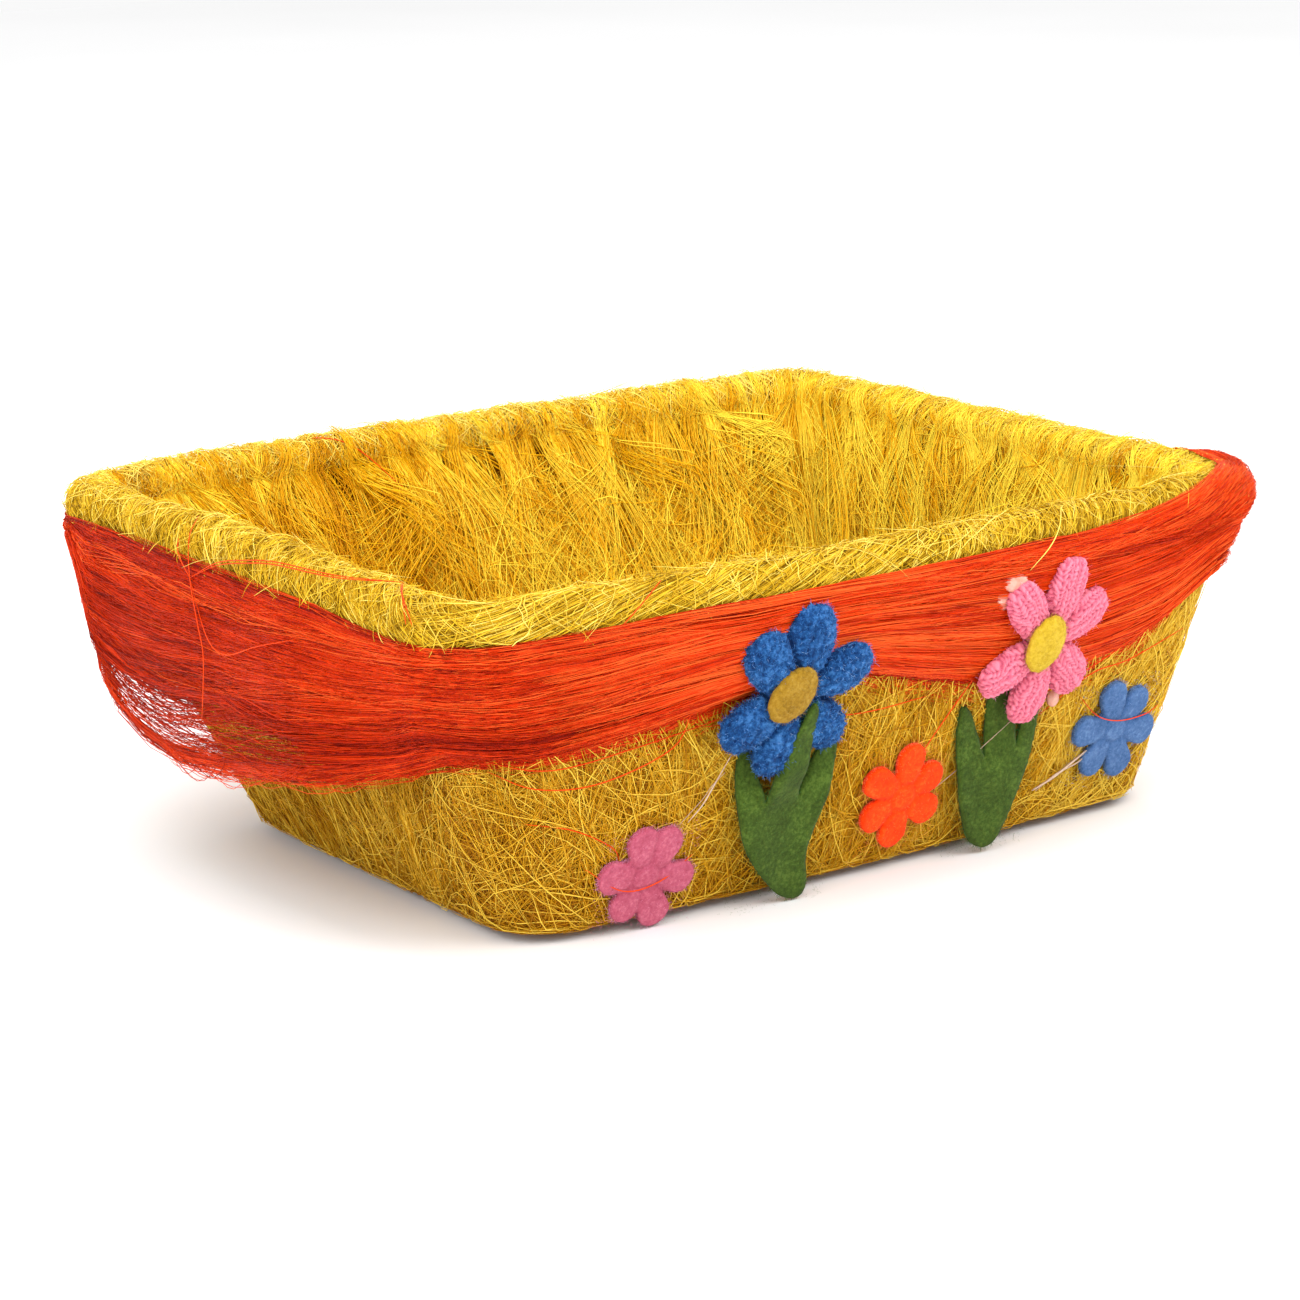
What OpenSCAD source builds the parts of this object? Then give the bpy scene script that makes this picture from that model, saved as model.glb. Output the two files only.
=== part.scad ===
// Easter basket: a welded wire tray frame between two layers of sisal mat.
// The rim is wound with sisal roving, a combed sisal sash runs below it, and
// felt and knitted flowers are glued to the front wall.
// Millimetres. +Z is up, +X is the long way, and the flowers face -Y.
// The origin is on the resting face, straight below the middle of the rim.

/* [Basket] */
// Rim length, between the middles of the wound rim
rim_length = 280; // [250:1:310]
// Rim width, between the middles of the wound rim
rim_width = 210; // [190:1:230]
// Height of the middle of the wound rim
rim_z = 98.7; // [90:0.1:110]
// Corner radius at the rim
rim_corner = 17; // [14:1:22]
// How far a long side of the rim bows outwards
rim_bow = 5.6; // [3:0.1:9]
// Floor length, between the middles of the walls
base_length = 226.4; // [200:0.1:240]
// Floor width, between the middles of the walls
base_width = 143.4; // [125:0.1:160]
// Corner radius at the floor
base_corner = 15; // [13:1:20]
// How far a long side of the floor bows outwards
base_bow = 2.4; // [1:0.1:5]
// The floor sits this far right of the rim's middle
base_right = 9.7; // [0:0.1:14]
// The floor sits this far in front of the rim's middle
base_front = 8.8; // [0:0.1:12]

/* [Wire frame] */
// Diameter of the rib and base wires
rib_d = 1.6; // [1.2:0.1:1.6]
// Diameter of the rim wire
rim_wire_d = 2.0; // [1.6:0.1:2.4]
// Distance between the cross ribs
rib_pitch = 64; // [50:1:72]

/* [Sisal] */
// Thickness of each wall mat
mat_t = 2.6; // [2:0.1:3]
// Thickness of the mat under the floor
base_mat_t = 3.0; // [2.4:0.1:3]
// Diameter of the wound rim
roll_d = 14.6; // [13:0.1:15]
// Thickness of the sash
sash_t = 3.4; // [2.5:0.1:3.4]

/* [Flowers] */
// Petal length of the two big flowers
big_petal = 19; // [16:0.5:20]
// Petal length of the small felt flowers
small_petal = 14.5; // [12:0.5:15]
// Thickness of a big flower
big_flower_t = 4; // [3:0.1:4.5]
// Thickness of the flat felt
felt_t = 1.6; // [1.2:0.1:2]

/* [Hidden] */

// Points along each stretch of an outline
LONG_N = 12;
SHORT_N = 8;
CORNER_N = 6;
HALF_CORNER = CORNER_N / 2;
OUTLINE_N = 2 * (LONG_N + SHORT_N + 2 * CORNER_N);

// Sides of a wire or a roll of roving, and the size of a wire's bends
TUBE_N = 12;
bend_r = 5;

// The wall is described by its middle surface, and w is the distance outwards
wire_gap = rib_d + 0.8;
mat_w0 = wire_gap / 2;
mat_w1 = mat_w0 + mat_t;
clear = 0.15;
sash_w0 = mat_w1 + clear;
sash_w1 = sash_w0 + sash_t;
roll_r = roll_d / 2;

// Levels, from the resting face upwards
wall_z = base_mat_t;
base_wire_z = base_mat_t + rib_d / 2 + 0.05;
cross_z = base_wire_z + rib_d + 0.05;
length_z = cross_z + rib_d + 0.05;
floor_z = length_z + rib_d / 2 + 0.05;
wall_top = rim_z - roll_r - clear;
sash_top = rim_z - sqrt(roll_r * roll_r - sash_w0 * sash_w0) - clear;

// Lean of the front wall, from upright
front_lean = atan2(rim_width / 2 + rim_bow
    - base_width / 2 - base_bow - base_front, rim_z - wall_z);

SISAL_OUT = [0.84, 0.64, 0.10];
SISAL_IN = [0.93, 0.74, 0.08];
SISAL_RIM = [0.88, 0.80, 0.24];
SASH_RED = [0.93, 0.22, 0.05];
WIRE = [0.55, 0.55, 0.56];
LEAF_GREEN = [0.25, 0.47, 0.17];
BLUE_FELT = [0.13, 0.36, 0.72];
PINK_KNIT = [0.96, 0.50, 0.70];
CENTRE_YELLOW = [0.90, 0.76, 0.18];

// ---- Outlines ------------------------------------------------------------

// Radius of a long side, which is a shallow arc
function bow_r(length, bow) = length * length / (8 * bow);

// Half the angle that the shallow arc turns through
function bow_a(length, corner, bow) =
    asin((length / 2 - corner) / (bow_r(length, bow) - corner));

// Distance of the shallow arc's centre from the middle of the outline
function bow_c(length, width, bow) = bow_r(length, bow) - width / 2 - bow;

// Centre of the corner arc in the +X +Y quarter
function corner_c(length, width, corner, bow) = [
    length / 2 - corner,
    (bow_r(length, bow) - corner) * cos(bow_a(length, corner, bow))
        - bow_c(length, width, bow)
];

// Points of an arc without its last one
function arc(c, r, a0, a1, n) = [
    for (k = [0 : n - 1]) let (a = a0 + (a1 - a0) * k / n)
        [c.x + r * cos(a), c.y + r * sin(a)]
];

// Points of a straight stretch without its last one
function line(a, b, n) = [for (k = [0 : n - 1]) a + (b - a) * k / n];

// Closed outline, anticlockwise from the front's left end, w outwards
function plan(length, width, corner, bow, w) =
    let (
        r = bow_r(length, bow) + w,
        a = bow_a(length, corner, bow),
        q = bow_c(length, width, bow),
        c = corner_c(length, width, corner, bow),
        k = corner + w,
        x = length / 2 + w
    )
    concat(
        arc([0, q], r, -90 - a, -90 + a, LONG_N),
        arc([c.x, -c.y], k, -90 + a, 0, CORNER_N),
        line([x, -c.y], [x, c.y], SHORT_N),
        arc([c.x, c.y], k, 0, 90 - a, CORNER_N),
        arc([0, -q], r, 90 - a, 90 + a, LONG_N),
        arc([-c.x, c.y], k, 90 + a, 180, CORNER_N),
        line([-x, c.y], [-x, -c.y], SHORT_N),
        arc([-c.x, -c.y], k, 180, 270 - a, CORNER_N)
    );

function rim_plan(w) =
    plan(rim_length, rim_width, rim_corner, rim_bow, w);

function base_plan(w) = [
    for (p = plan(base_length, base_width, base_corner, base_bow, w))
        p + [base_right, -base_front]
];

// Share of the way from the floor to the rim
function rise(z) = (z - wall_z) / (rim_z - wall_z);

// Point number i of the wall at height z, w outwards of its middle surface
function wall_pt(i, w, z) =
    let (
        k = (i + OUTLINE_N) % OUTLINE_N,
        p = base_plan(w)[k] + (rim_plan(w)[k] - base_plan(w)[k]) * rise(z)
    )
    [p.x, p.y, z];

// Level outline of the wall at height z
function wall_plan(w, z) =
    let (b = base_plan(w), r = rim_plan(w))
    [for (k = [0 : OUTLINE_N - 1]) b[k] + (r[k] - b[k]) * rise(z)];

// Index ranges of the four walls, each from the middle of one corner on
FRONT = [-HALF_CORNER, LONG_N + HALF_CORNER];
RIGHT = [FRONT[1], FRONT[1] + SHORT_N + CORNER_N];
BACK = [RIGHT[1], RIGHT[1] + LONG_N + CORNER_N];
LEFT = [BACK[1], BACK[1] + SHORT_N + CORNER_N];

// ---- Builders ------------------------------------------------------------

// Triangles between each section and the next, n points to a section
function side_faces(m, n, flip = false) = [
    for (s = [0 : m - 2], k = [0 : n - 1], t = [0, 1])
        let (
            a = s * n + k,
            b = s * n + (k + 1) % n,
            c = a + n,
            d = b + n
        )
        flip
            ? (t == 0 ? [a, d, b] : [a, c, d])
            : (t == 0 ? [a, b, d] : [a, d, c])
];

function moved(faces, by) = [for (f = faces) f + by * [1, 1, 1]];

// Closed solid through a row of sections with the same number of points
module skin(sections) {
    n = len(sections[0]);
    m = len(sections);
    first = [for (k = [1 : n - 2]) [0, k + 1, k]];
    last = [for (k = [1 : n - 2]) [0, k, k + 1]];
    polyhedron(
        [for (s = sections) each s],
        concat(side_faces(m, n), first, moved(last, (m - 1) * n))
    );
}

// Tube through two rows of rings, one outside the other, with open ends
module hollow_skin(outside, inside) {
    n = len(outside[0]);
    m = len(outside);
    in = m * n;
    end = (m - 1) * n;
    cap = [for (k = [0 : n - 1]) let (j = (k + 1) % n) [k, j, in + j, in + k]];
    near = [for (q = cap) each [[q[0], q[2], q[1]], [q[0], q[3], q[2]]]];
    far = [for (q = cap) each [[q[0], q[1], q[2]], [q[0], q[2], q[3]]]];
    polyhedron(
        concat([for (s = outside) each s], [for (s = inside) each s]),
        concat(side_faces(m, n), moved(side_faces(m, n, true), in),
            near, moved(far, end))
    );
}

// Strip of wall between two offsets, with level top and bottom edges
module wall_strip(span, w0, w1, z0, z1) {
    skin([
        for (i = [span[0] : span[1]])
            [wall_pt(i, w0, z0), wall_pt(i, w1, z0),
             wall_pt(i, w1, z1), wall_pt(i, w0, z1)]
    ]);
}

function unit(v) = v / norm(v);

// Ring of points around p: the tube runs along dir, and side is across it
function ring(p, dir, side, d) =
    let (u = unit(side), v = unit(cross(unit(dir), u)))
    [
        for (k = [0 : TUBE_N - 1])
            let (a = 360 * k / TUBE_N)
            p + d / 2 * (cos(a) * u + sin(a) * v)
    ];

// Direction of a path at its point k, which is one of a list
function heading(path, k) =
    path[min(k + 1, len(path) - 1)] - path[max(k - 1, 0)];

// Rings along a level outline from point i to point j, at height z
function loop_rings(outline, i, j, z, d) =
    let (n = len(outline))
    [
        for (k = [i : j])
            let (
                p = outline[(k + n) % n],
                dir = outline[(k + 1 + n) % n] - outline[(k - 1 + n) % n]
            )
            ring([p.x, p.y, z], [dir.x, dir.y, 0], [0, 0, 1], d)
    ];

// Round wire all the way round a level outline, made as two joined halves
module wire_loop(outline, z, d) {
    n = len(outline);
    rings = loop_rings(outline, 0, n, z, d);
    points = [for (k = [0 : n - 1]) each rings[k]];
    count = len(points);
    polyhedron(points, [
        for (f = side_faces(n + 1, TUBE_N))
            [f[0] % count, f[1] % count, f[2] % count]
    ]);
}

// Straight wire between two points
module rod(a, b, d) {
    v = b - a;
    translate(a)
        rotate([0, acos(v.z / norm(v)), atan2(v.y, v.x)])
            cylinder(h = norm(v), d = d, $fn = 24);
}

// ---- Wire frame ----------------------------------------------------------

// Wall points where the ribs stand
RIB_STEP = round(rib_pitch / (rim_length / LONG_N));
FRONT_MID = LONG_N / 2;
RIGHT_MID = LONG_N + CORNER_N + SHORT_N / 2;
BACK_MID = LONG_N + SHORT_N + 2 * CORNER_N + LONG_N / 2;
LEFT_MID = OUTLINE_N - CORNER_N - SHORT_N / 2;
leg_top = rim_z - rim_wire_d / 2;

// Points of a bend at corner b, from the side of a to the side of c
function bend(a, b, c) =
    let (p = b + bend_r * unit(a - b), q = b + bend_r * unit(c - b))
    [
        for (t = [0 : 0.25 : 1])
            (1 - t) * (1 - t) * p + 2 * t * (1 - t) * b + t * t * q
    ];

// U-shaped rib between wall points i and j, with its level run at height z
module rib(i, j, z, side) {
    a = wall_pt(i, 0, z);
    b = wall_pt(j, 0, z);
    a_top = wall_pt(i, 0, leg_top);
    b_top = wall_pt(j, 0, leg_top);
    path = concat([a_top], bend(a_top, a, b), bend(a, b, b_top), [b_top]);
    color(WIRE)
        skin([
            for (k = [0 : len(path) - 1])
                ring(path[k], heading(path, k), side, rib_d)
        ]);
}

module rim_wire() {
    color(WIRE) wire_loop(rim_plan(0), rim_z, rim_wire_d);
}

// The base wire lies inside the feet of the ribs, which cross over it
module base_wire() {
    color(WIRE) wire_loop(base_plan(-rib_d - 0.1), base_wire_z, rib_d);
}

module cross_rib_left() {
    rib(FRONT_MID - RIB_STEP, BACK_MID + RIB_STEP, cross_z, [1, 0, 0]);
}

module cross_rib_middle() {
    rib(FRONT_MID, BACK_MID, cross_z, [1, 0, 0]);
}

module cross_rib_right() {
    rib(FRONT_MID + RIB_STEP, BACK_MID - RIB_STEP, cross_z, [1, 0, 0]);
}

module length_rib() {
    rib(LEFT_MID, RIGHT_MID, length_z, [0, 1, 0]);
}

// ---- Mats ----------------------------------------------------------------

module outer_mat(span) {
    color(SISAL_OUT)
        wall_strip(span, mat_w0, mat_w1, wall_z, wall_top);
}

module outer_mat_front() {
    outer_mat(FRONT);
}

module outer_mat_right() {
    outer_mat(RIGHT);
}

module outer_mat_back() {
    outer_mat(BACK);
}

module outer_mat_left() {
    outer_mat(LEFT);
}

// The mat under the floor turns up at its edge, in two steps
// The mat under the floor is set in from the walls, more so at its underside
base_mat_inset = 5;
base_mat_bevel = 4;

module outer_mat_base() {
    step = base_mat_t / 2;
    top_w = mat_w1 - base_mat_inset;
    color(SISAL_OUT) {
        linear_extrude(step) polygon(base_plan(top_w - base_mat_bevel));
        translate([0, 0, step])
            linear_extrude(step) polygon(base_plan(top_w));
    }
}

module lining(span) {
    color(SISAL_IN)
        wall_strip(span, -mat_w1, -mat_w0, floor_z, wall_top);
}

module lining_front() {
    lining(FRONT);
}

module lining_right() {
    lining(RIGHT);
}

module lining_back() {
    lining(BACK);
}

module lining_left() {
    lining(LEFT);
}

module lining_floor() {
    color(SISAL_IN)
        translate([0, 0, floor_z])
            linear_extrude(mat_t) polygon(wall_plan(-mat_w1 - clear, floor_z));
}

// ---- Wound rim -----------------------------------------------------------

// Roving around the rim wire, bored where the ribs come up to it
module winding(span) {
    color(SISAL_RIM)
        difference() {
            hollow_skin(
                loop_rings(rim_plan(0), span[0], span[1], rim_z, roll_d),
                loop_rings(rim_plan(0), span[0], span[1], rim_z, rim_wire_d)
            );
            rib_bores(span);
        }
}

// Holes through the roving for the legs of the ribs
module rib_bores(span) {
    legs = [
        FRONT_MID - RIB_STEP, FRONT_MID, FRONT_MID + RIB_STEP, RIGHT_MID,
        BACK_MID - RIB_STEP, BACK_MID, BACK_MID + RIB_STEP, LEFT_MID
    ];
    for (i = legs)
        if (i > span[0] && i < span[1])
            rod(wall_pt(i, 0, wall_top - 4), wall_pt(i, 0, rim_z), rib_d);
}

module rim_winding_front() {
    winding(FRONT);
}

module rim_winding_right() {
    winding(RIGHT);
}

module rim_winding_back() {
    winding(BACK);
}

module rim_winding_left() {
    winding(LEFT);
}

// ---- Sash ----------------------------------------------------------------

// Height of the sash's lower edge on the front, by distance along X
FRONT_HEM = [
    [-130, 57], [-60, 66], [-12, 68], [15, 60], [45, 53], [75, 53],
    [104, 57], [140, 74]
];

// Height of the loose bundle's lower edge on the left, by distance along Y
SWAG_HEM = [
    [-97, 57], [-56, 46], [-29, 40], [1, 33], [42, 29], [60, 33],
    [77, 42], [90, 60], [102, 76]
];

// Heights of the lower edge on the right end and along the back
RIGHT_HEM = 70;
BACK_HEM = 73;

function smooth(t) = t * t * (3 - 2 * t);

module sash_front() {
    color(SASH_RED)
        skin([
            for (i = [FRONT[0] : FRONT[1]])
                let (z = lookup(wall_pt(i, 0, rim_z).x, FRONT_HEM))
                [wall_pt(i, sash_w0, z), wall_pt(i, sash_w1, z),
                 wall_pt(i, sash_w1, sash_top), wall_pt(i, sash_w0, sash_top)]
        ]);
}

module sash_right() {
    color(SASH_RED)
        wall_strip(RIGHT, sash_w0, sash_w1, RIGHT_HEM, sash_top);
}

module sash_back() {
    color(SASH_RED)
        wall_strip(BACK, sash_w0, sash_w1, BACK_HEM, sash_top);
}

// Foot of the loose bundle: on the wall at both ends, plumb below the rim
// between them
function swag_pt(i, w, z) =
    let (
        s = (i - LEFT[0]) / (LEFT[1] - LEFT[0]),
        hang = smooth(sin(180 * s)),
        on_wall = wall_pt(i, w, z),
        plumb = wall_pt(i, w, rim_z)
    )
    [
        on_wall.x + (plumb.x - on_wall.x) * hang,
        on_wall.y + (plumb.y - on_wall.y) * hang,
        z
    ];

module sash_left_swag() {
    color(SASH_RED)
        skin([
            for (i = [LEFT[0] : LEFT[1]])
                let (z = lookup(wall_pt(i, 0, rim_z).y, SWAG_HEM))
                [swag_pt(i, sash_w0, z), swag_pt(i, sash_w1, z),
                 swag_pt(i, sash_w1, sash_top), swag_pt(i, sash_w0, sash_top)]
        ]);
}

// Where the corner wrap starts and ends around the roll, and its thickness
WRAP_LOW = -20;
WRAP_HIGH = 140;
wrap_t = 2.2;

// Sector of a disc between two angles, large enough to cut the wrap
function wedge(a0, a1, r) = concat([[0, 0]], [
    for (k = [0 : 8]) let (a = a0 + (a1 - a0) * k / 8)
        [r * cos(a), r * sin(a)]
]);

// The bundle turns over the rim at the right front corner
module sash_corner_wrap() {
    c = corner_c(rim_length, rim_width, rim_corner, rim_bow);
    color(SASH_RED)
        translate([c.x, -c.y, rim_z])
            rotate([0, 0, -70])
                rotate_extrude(angle = 65, $fn = 96)
                    translate([rim_corner, 0])
                        intersection() {
                            difference() {
                                circle(r = roll_r + wrap_t, $fn = 48);
                                circle(r = roll_r + clear, $fn = 48);
                            }
                            polygon(wedge(WRAP_LOW, WRAP_HIGH, roll_d));
                        }
}

// ---- Flowers -------------------------------------------------------------

// Front face of the front wall at x and height z, w outwards
function front_y(x, w, z) =
    let (
        rim_r = bow_r(rim_length, rim_bow) + w,
        base_r = bow_r(base_length, base_bow) + w,
        dx = x - base_right,
        y_rim = bow_c(rim_length, rim_width, rim_bow)
            - sqrt(rim_r * rim_r - x * x),
        y_base = bow_c(base_length, base_width, base_bow) - base_front
            - sqrt(base_r * base_r - dx * dx)
    )
    y_base + (y_rim - y_base) * rise(z);

// Places flat work on the front wall: its +Y runs up the wall, +Z outwards
module on_front(x, z, w, tilt = 0) {
    translate([x, front_y(x, w, z), z])
        rotate([90 + front_lean - tilt, 0, 0])
            children();
}

function ellipse(a, b, n) = [
    for (k = [0 : n - 1]) [a * cos(360 * k / n), b * sin(360 * k / n)]
];

// Flat flower of six petals that overlap in the middle
module flower(petal, wide, t, turn) {
    for (k = [0 : 5])
        rotate([0, 0, turn + 60 * k])
            translate([petal * 0.62, 0, 0])
                linear_extrude(t)
                    polygon(ellipse(petal * 0.58, wide / 2, 24));
    cylinder(h = t, r = petal * 0.4, $fn = 36);
}

// Leaf of three lobes on one blade, its foot at the origin
LEAF_OUTLINE = [
    [0, 0], [6, 3], [10.5, 10.5], [13, 20], [14.5, 33], [12, 45], [8, 38],
    [5, 31], [4, 44], [-3, 44], [-6, 29], [-12, 37], [-18, 47],
    [-18, 39], [-16, 24], [-12.5, 13], [-6, 3]
];

// The leaf hangs more upright than the wall, so its foot stands off it
module leaf(at, turn) {
    color(LEAF_GREEN)
        on_front(at.x, at.y, leaf_w, leaf_tilt)
            rotate([0, 0, turn])
                linear_extrude(felt_t) polygon(LEAF_OUTLINE);
}

// Middle places of the decorations: distance along X and height
BLUE_AT = [-35, 67];
PINK_AT = [56, 68];
BLUE_LEAF_AT = [-19, 1];
PINK_LEAF_AT = [56, 1];
SMALL_PINK_AT = [-72, 18];
SMALL_ORANGE_AT = [18, 22.5];
SMALL_BLUE_AT = [101, 28];
felt_w = mat_w1 + 1.4;
flower_w = sash_w1 + 0.3;
leaf_w = mat_w1 + 6;
leaf_tilt = 7;

module blue_flower() {
    color(BLUE_FELT)
        on_front(BLUE_AT.x, BLUE_AT.y, flower_w)
            flower(big_petal, 15, big_flower_t, 20);
}

module centre() {
    color(CENTRE_YELLOW)
        translate([0, 0, big_flower_t + 0.05])
            rotate([0, 0, 60])
                linear_extrude(2.2)
                    polygon(ellipse(8, 5, 32));
}

module blue_flower_centre() {
    on_front(BLUE_AT.x, BLUE_AT.y, flower_w) centre();
}

module blue_flower_leaf() {
    leaf(BLUE_LEAF_AT, 12);
}

module pink_flower() {
    color(PINK_KNIT)
        on_front(PINK_AT.x, PINK_AT.y, flower_w)
            flower(big_petal * 0.95, 14, big_flower_t, 10);
}

module pink_flower_centre() {
    on_front(PINK_AT.x, PINK_AT.y, flower_w) centre();
}

module pink_flower_leaf() {
    leaf(PINK_LEAF_AT, 0);
}

module small_flower(at, turn) {
    on_front(at.x, at.y, felt_w)
        flower(small_petal, 10, felt_t, turn);
}

module small_pink_flower() {
    color([0.88, 0.44, 0.66]) small_flower(SMALL_PINK_AT, 15);
}

module small_orange_flower() {
    color([1.0, 0.30, 0.06]) small_flower(SMALL_ORANGE_AT, 0);
}

module small_blue_flower() {
    color([0.29, 0.49, 0.77]) small_flower(SMALL_BLUE_AT, 25);
}

// Drops of hot glue: distance along X, height, w of the back, w of the front
GLUE = [
    [-34, 62, mat_w1, flower_w],
    [-44, 54, mat_w1, flower_w],
    [49, 84, sash_w1, sash_w1 + 2],
    [66, 49.4, mat_w1, flower_w]
];
glue_d = 5;

module glue_dots() {
    color([0.92, 0.88, 0.80, 0.6])
        for (g = GLUE)
            on_front(g[0], g[1], g[2] + 0.05)
                cylinder(h = g[3] - g[2] - 0.1, d = glue_d, $fn = 24);
}

rim_wire();
base_wire();
cross_rib_left();
cross_rib_middle();
cross_rib_right();
length_rib();
outer_mat_front();
outer_mat_right();
outer_mat_back();
outer_mat_left();
outer_mat_base();
lining_front();
lining_right();
lining_back();
lining_left();
lining_floor();
rim_winding_front();
rim_winding_right();
rim_winding_back();
rim_winding_left();
sash_front();
sash_right();
sash_back();
sash_left_swag();
sash_corner_wrap();
blue_flower();
blue_flower_centre();
blue_flower_leaf();
pink_flower();
pink_flower_centre();
pink_flower_leaf();
small_pink_flower();
small_orange_flower();
small_blue_flower();
glue_dots();
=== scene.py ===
"""Looks of the Easter basket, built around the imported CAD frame.

Lengths are in millimetres all through the script, and raw_mesh() turns them into
metres. A place on a wall is (u, z, w): u runs counter-clockwise along the rim from
the left end of the front, z is the height, and w is the distance outwards from the
middle of the wall.
"""

import math

import bpy
import numpy as np
from mathutils import Matrix, Vector, geometry, noise


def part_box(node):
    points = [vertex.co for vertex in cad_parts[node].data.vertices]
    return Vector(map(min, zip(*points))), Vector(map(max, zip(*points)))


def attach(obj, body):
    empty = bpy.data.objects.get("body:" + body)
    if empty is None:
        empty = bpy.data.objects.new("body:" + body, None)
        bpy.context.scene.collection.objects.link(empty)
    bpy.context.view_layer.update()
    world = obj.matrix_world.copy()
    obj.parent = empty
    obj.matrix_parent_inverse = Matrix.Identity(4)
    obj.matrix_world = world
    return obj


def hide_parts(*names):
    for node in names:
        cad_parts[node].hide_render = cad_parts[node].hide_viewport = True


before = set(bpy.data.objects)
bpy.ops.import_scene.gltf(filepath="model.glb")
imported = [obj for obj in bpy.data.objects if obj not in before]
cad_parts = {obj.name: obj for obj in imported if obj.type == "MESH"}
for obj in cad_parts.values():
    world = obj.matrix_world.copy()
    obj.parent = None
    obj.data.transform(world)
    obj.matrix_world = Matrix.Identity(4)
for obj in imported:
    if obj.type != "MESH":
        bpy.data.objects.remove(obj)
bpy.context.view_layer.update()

MM = 0.001
TAU = 2 * math.pi


# ---- The frame's outline ---------------------------------------------------

def box_mm(node):
    """Lowest and highest corner of a CAD node, in millimetres."""
    low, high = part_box(node)
    return np.array(low) / MM, np.array(high) / MM


RIM_LOW, RIM_HIGH = box_mm("rim_wire")
BASE_LOW, BASE_HIGH = box_mm("base_wire")
ROLL_LOW, ROLL_HIGH = box_mm("rim_winding_left")
RIM_WIRE_R = (RIM_HIGH[2] - RIM_LOW[2]) / 2
RIM_Z = (RIM_HIGH[2] + RIM_LOW[2]) / 2
FOOT_Z = box_mm("outer_mat_front")[0][2]
ROLL_R = (ROLL_HIGH[2] - ROLL_LOW[2]) / 2
WIRE_INSET = 0.9

RIM_BOW = 5.6
RIM_CORNER = 17.0
BASE_BOW = 2.4
BASE_CORNER = 15.0
LONG_STEPS = 96
SHORT_STEPS = 68
CORNER_STEPS = 16


def outline(half_x, half_y, corner, bow, middle):
    """Points and outward normals of a closed outline with bowed long sides."""
    big = half_x ** 2 / (2 * bow)
    centre_y = big - half_y - bow
    cx = half_x - corner
    a = math.asin(cx / (big - corner))
    cy = centre_y - (big - corner) * math.cos(a)
    a = math.degrees(a)
    arcs = [
        (0, centre_y, big, -90 - a, -90 + a, LONG_STEPS),
        (cx, cy, corner, -90 + a, 0, CORNER_STEPS),
        (half_x, cy, 0, 0, 0, SHORT_STEPS),
        (cx, -cy, corner, 0, 90 - a, CORNER_STEPS),
        (0, -centre_y, big, 90 - a, 90 + a, LONG_STEPS),
        (-cx, -cy, corner, 90 + a, 180, CORNER_STEPS),
        (-half_x, -cy, 0, 180, 180, SHORT_STEPS),
        (-cx, cy, corner, 180, 270 - a, CORNER_STEPS),
    ]
    points = []
    normals = []
    for x, y, radius, start, end, steps in arcs:
        for k in range(steps):
            angle = math.radians(start + (end - start) * k / steps)
            out = np.array([math.cos(angle), math.sin(angle)])
            run = -2 * y * k / steps if radius == 0 else 0
            points.append(middle + np.array([x, y + run]) + radius * out)
            normals.append(out)
    return np.array(points + points[:1]), np.array(normals + normals[:1])


RIM_PT, RIM_OUT = outline(
    RIM_HIGH[0] - RIM_WIRE_R, RIM_HIGH[1] - RIM_WIRE_R - RIM_BOW, RIM_CORNER, RIM_BOW,
    (RIM_LOW[:2] + RIM_HIGH[:2]) / 2,
)
BASE_MIDDLE = (BASE_LOW[:2] + BASE_HIGH[:2]) / 2
BASE_HALF = (BASE_HIGH - BASE_LOW)[:2] / 2 + WIRE_INSET
BASE_PT, BASE_OUT = outline(
    BASE_HALF[0], BASE_HALF[1] - BASE_BOW, BASE_CORNER, BASE_BOW, BASE_MIDDLE
)
RIM_U = np.concatenate([[0], np.cumsum(np.linalg.norm(np.diff(RIM_PT, axis=0), axis=1))])
AROUND = RIM_U[-1]
MARKS = np.cumsum([
    LONG_STEPS, CORNER_STEPS, SHORT_STEPS, CORNER_STEPS, LONG_STEPS, CORNER_STEPS, SHORT_STEPS
])
(
    FRONT_END, RIGHT_START, RIGHT_END, BACK_START, BACK_END, LEFT_START, LEFT_END
) = RIM_U[MARKS]
HALF_CORNER = (RIGHT_START - FRONT_END) / 2
SIDES = {
    "front": (-HALF_CORNER, FRONT_END + HALF_CORNER),
    "right": (RIGHT_START - HALF_CORNER, RIGHT_END + HALF_CORNER),
    "back": (BACK_START - HALF_CORNER, BACK_END + HALF_CORNER),
    "left": (LEFT_START - HALF_CORNER, LEFT_END + HALF_CORNER),
}


def look(table, u):
    """Rows of an outline table at places u along the rim."""
    u = np.mod(u, AROUND)
    return np.stack([np.interp(u, RIM_U, table[:, i]) for i in range(2)], axis=-1)


def same_shape(*values):
    """Arrays of one shape from numbers and arrays."""
    return np.broadcast_arrays(*(np.asarray(v, float) for v in values))


def wall(u, z, w):
    """Points at u along the rim, height z and w outwards."""
    u, z, w = same_shape(u, z, w)
    low = look(BASE_PT, u) + look(BASE_OUT, u) * w[..., None]
    top = look(RIM_PT, u) + look(RIM_OUT, u) * w[..., None]
    rise = ((z - FOOT_Z) / (RIM_Z - FOOT_Z))[..., None]
    return np.concatenate([low + (top - low) * rise, z[..., None]], axis=-1)


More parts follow.
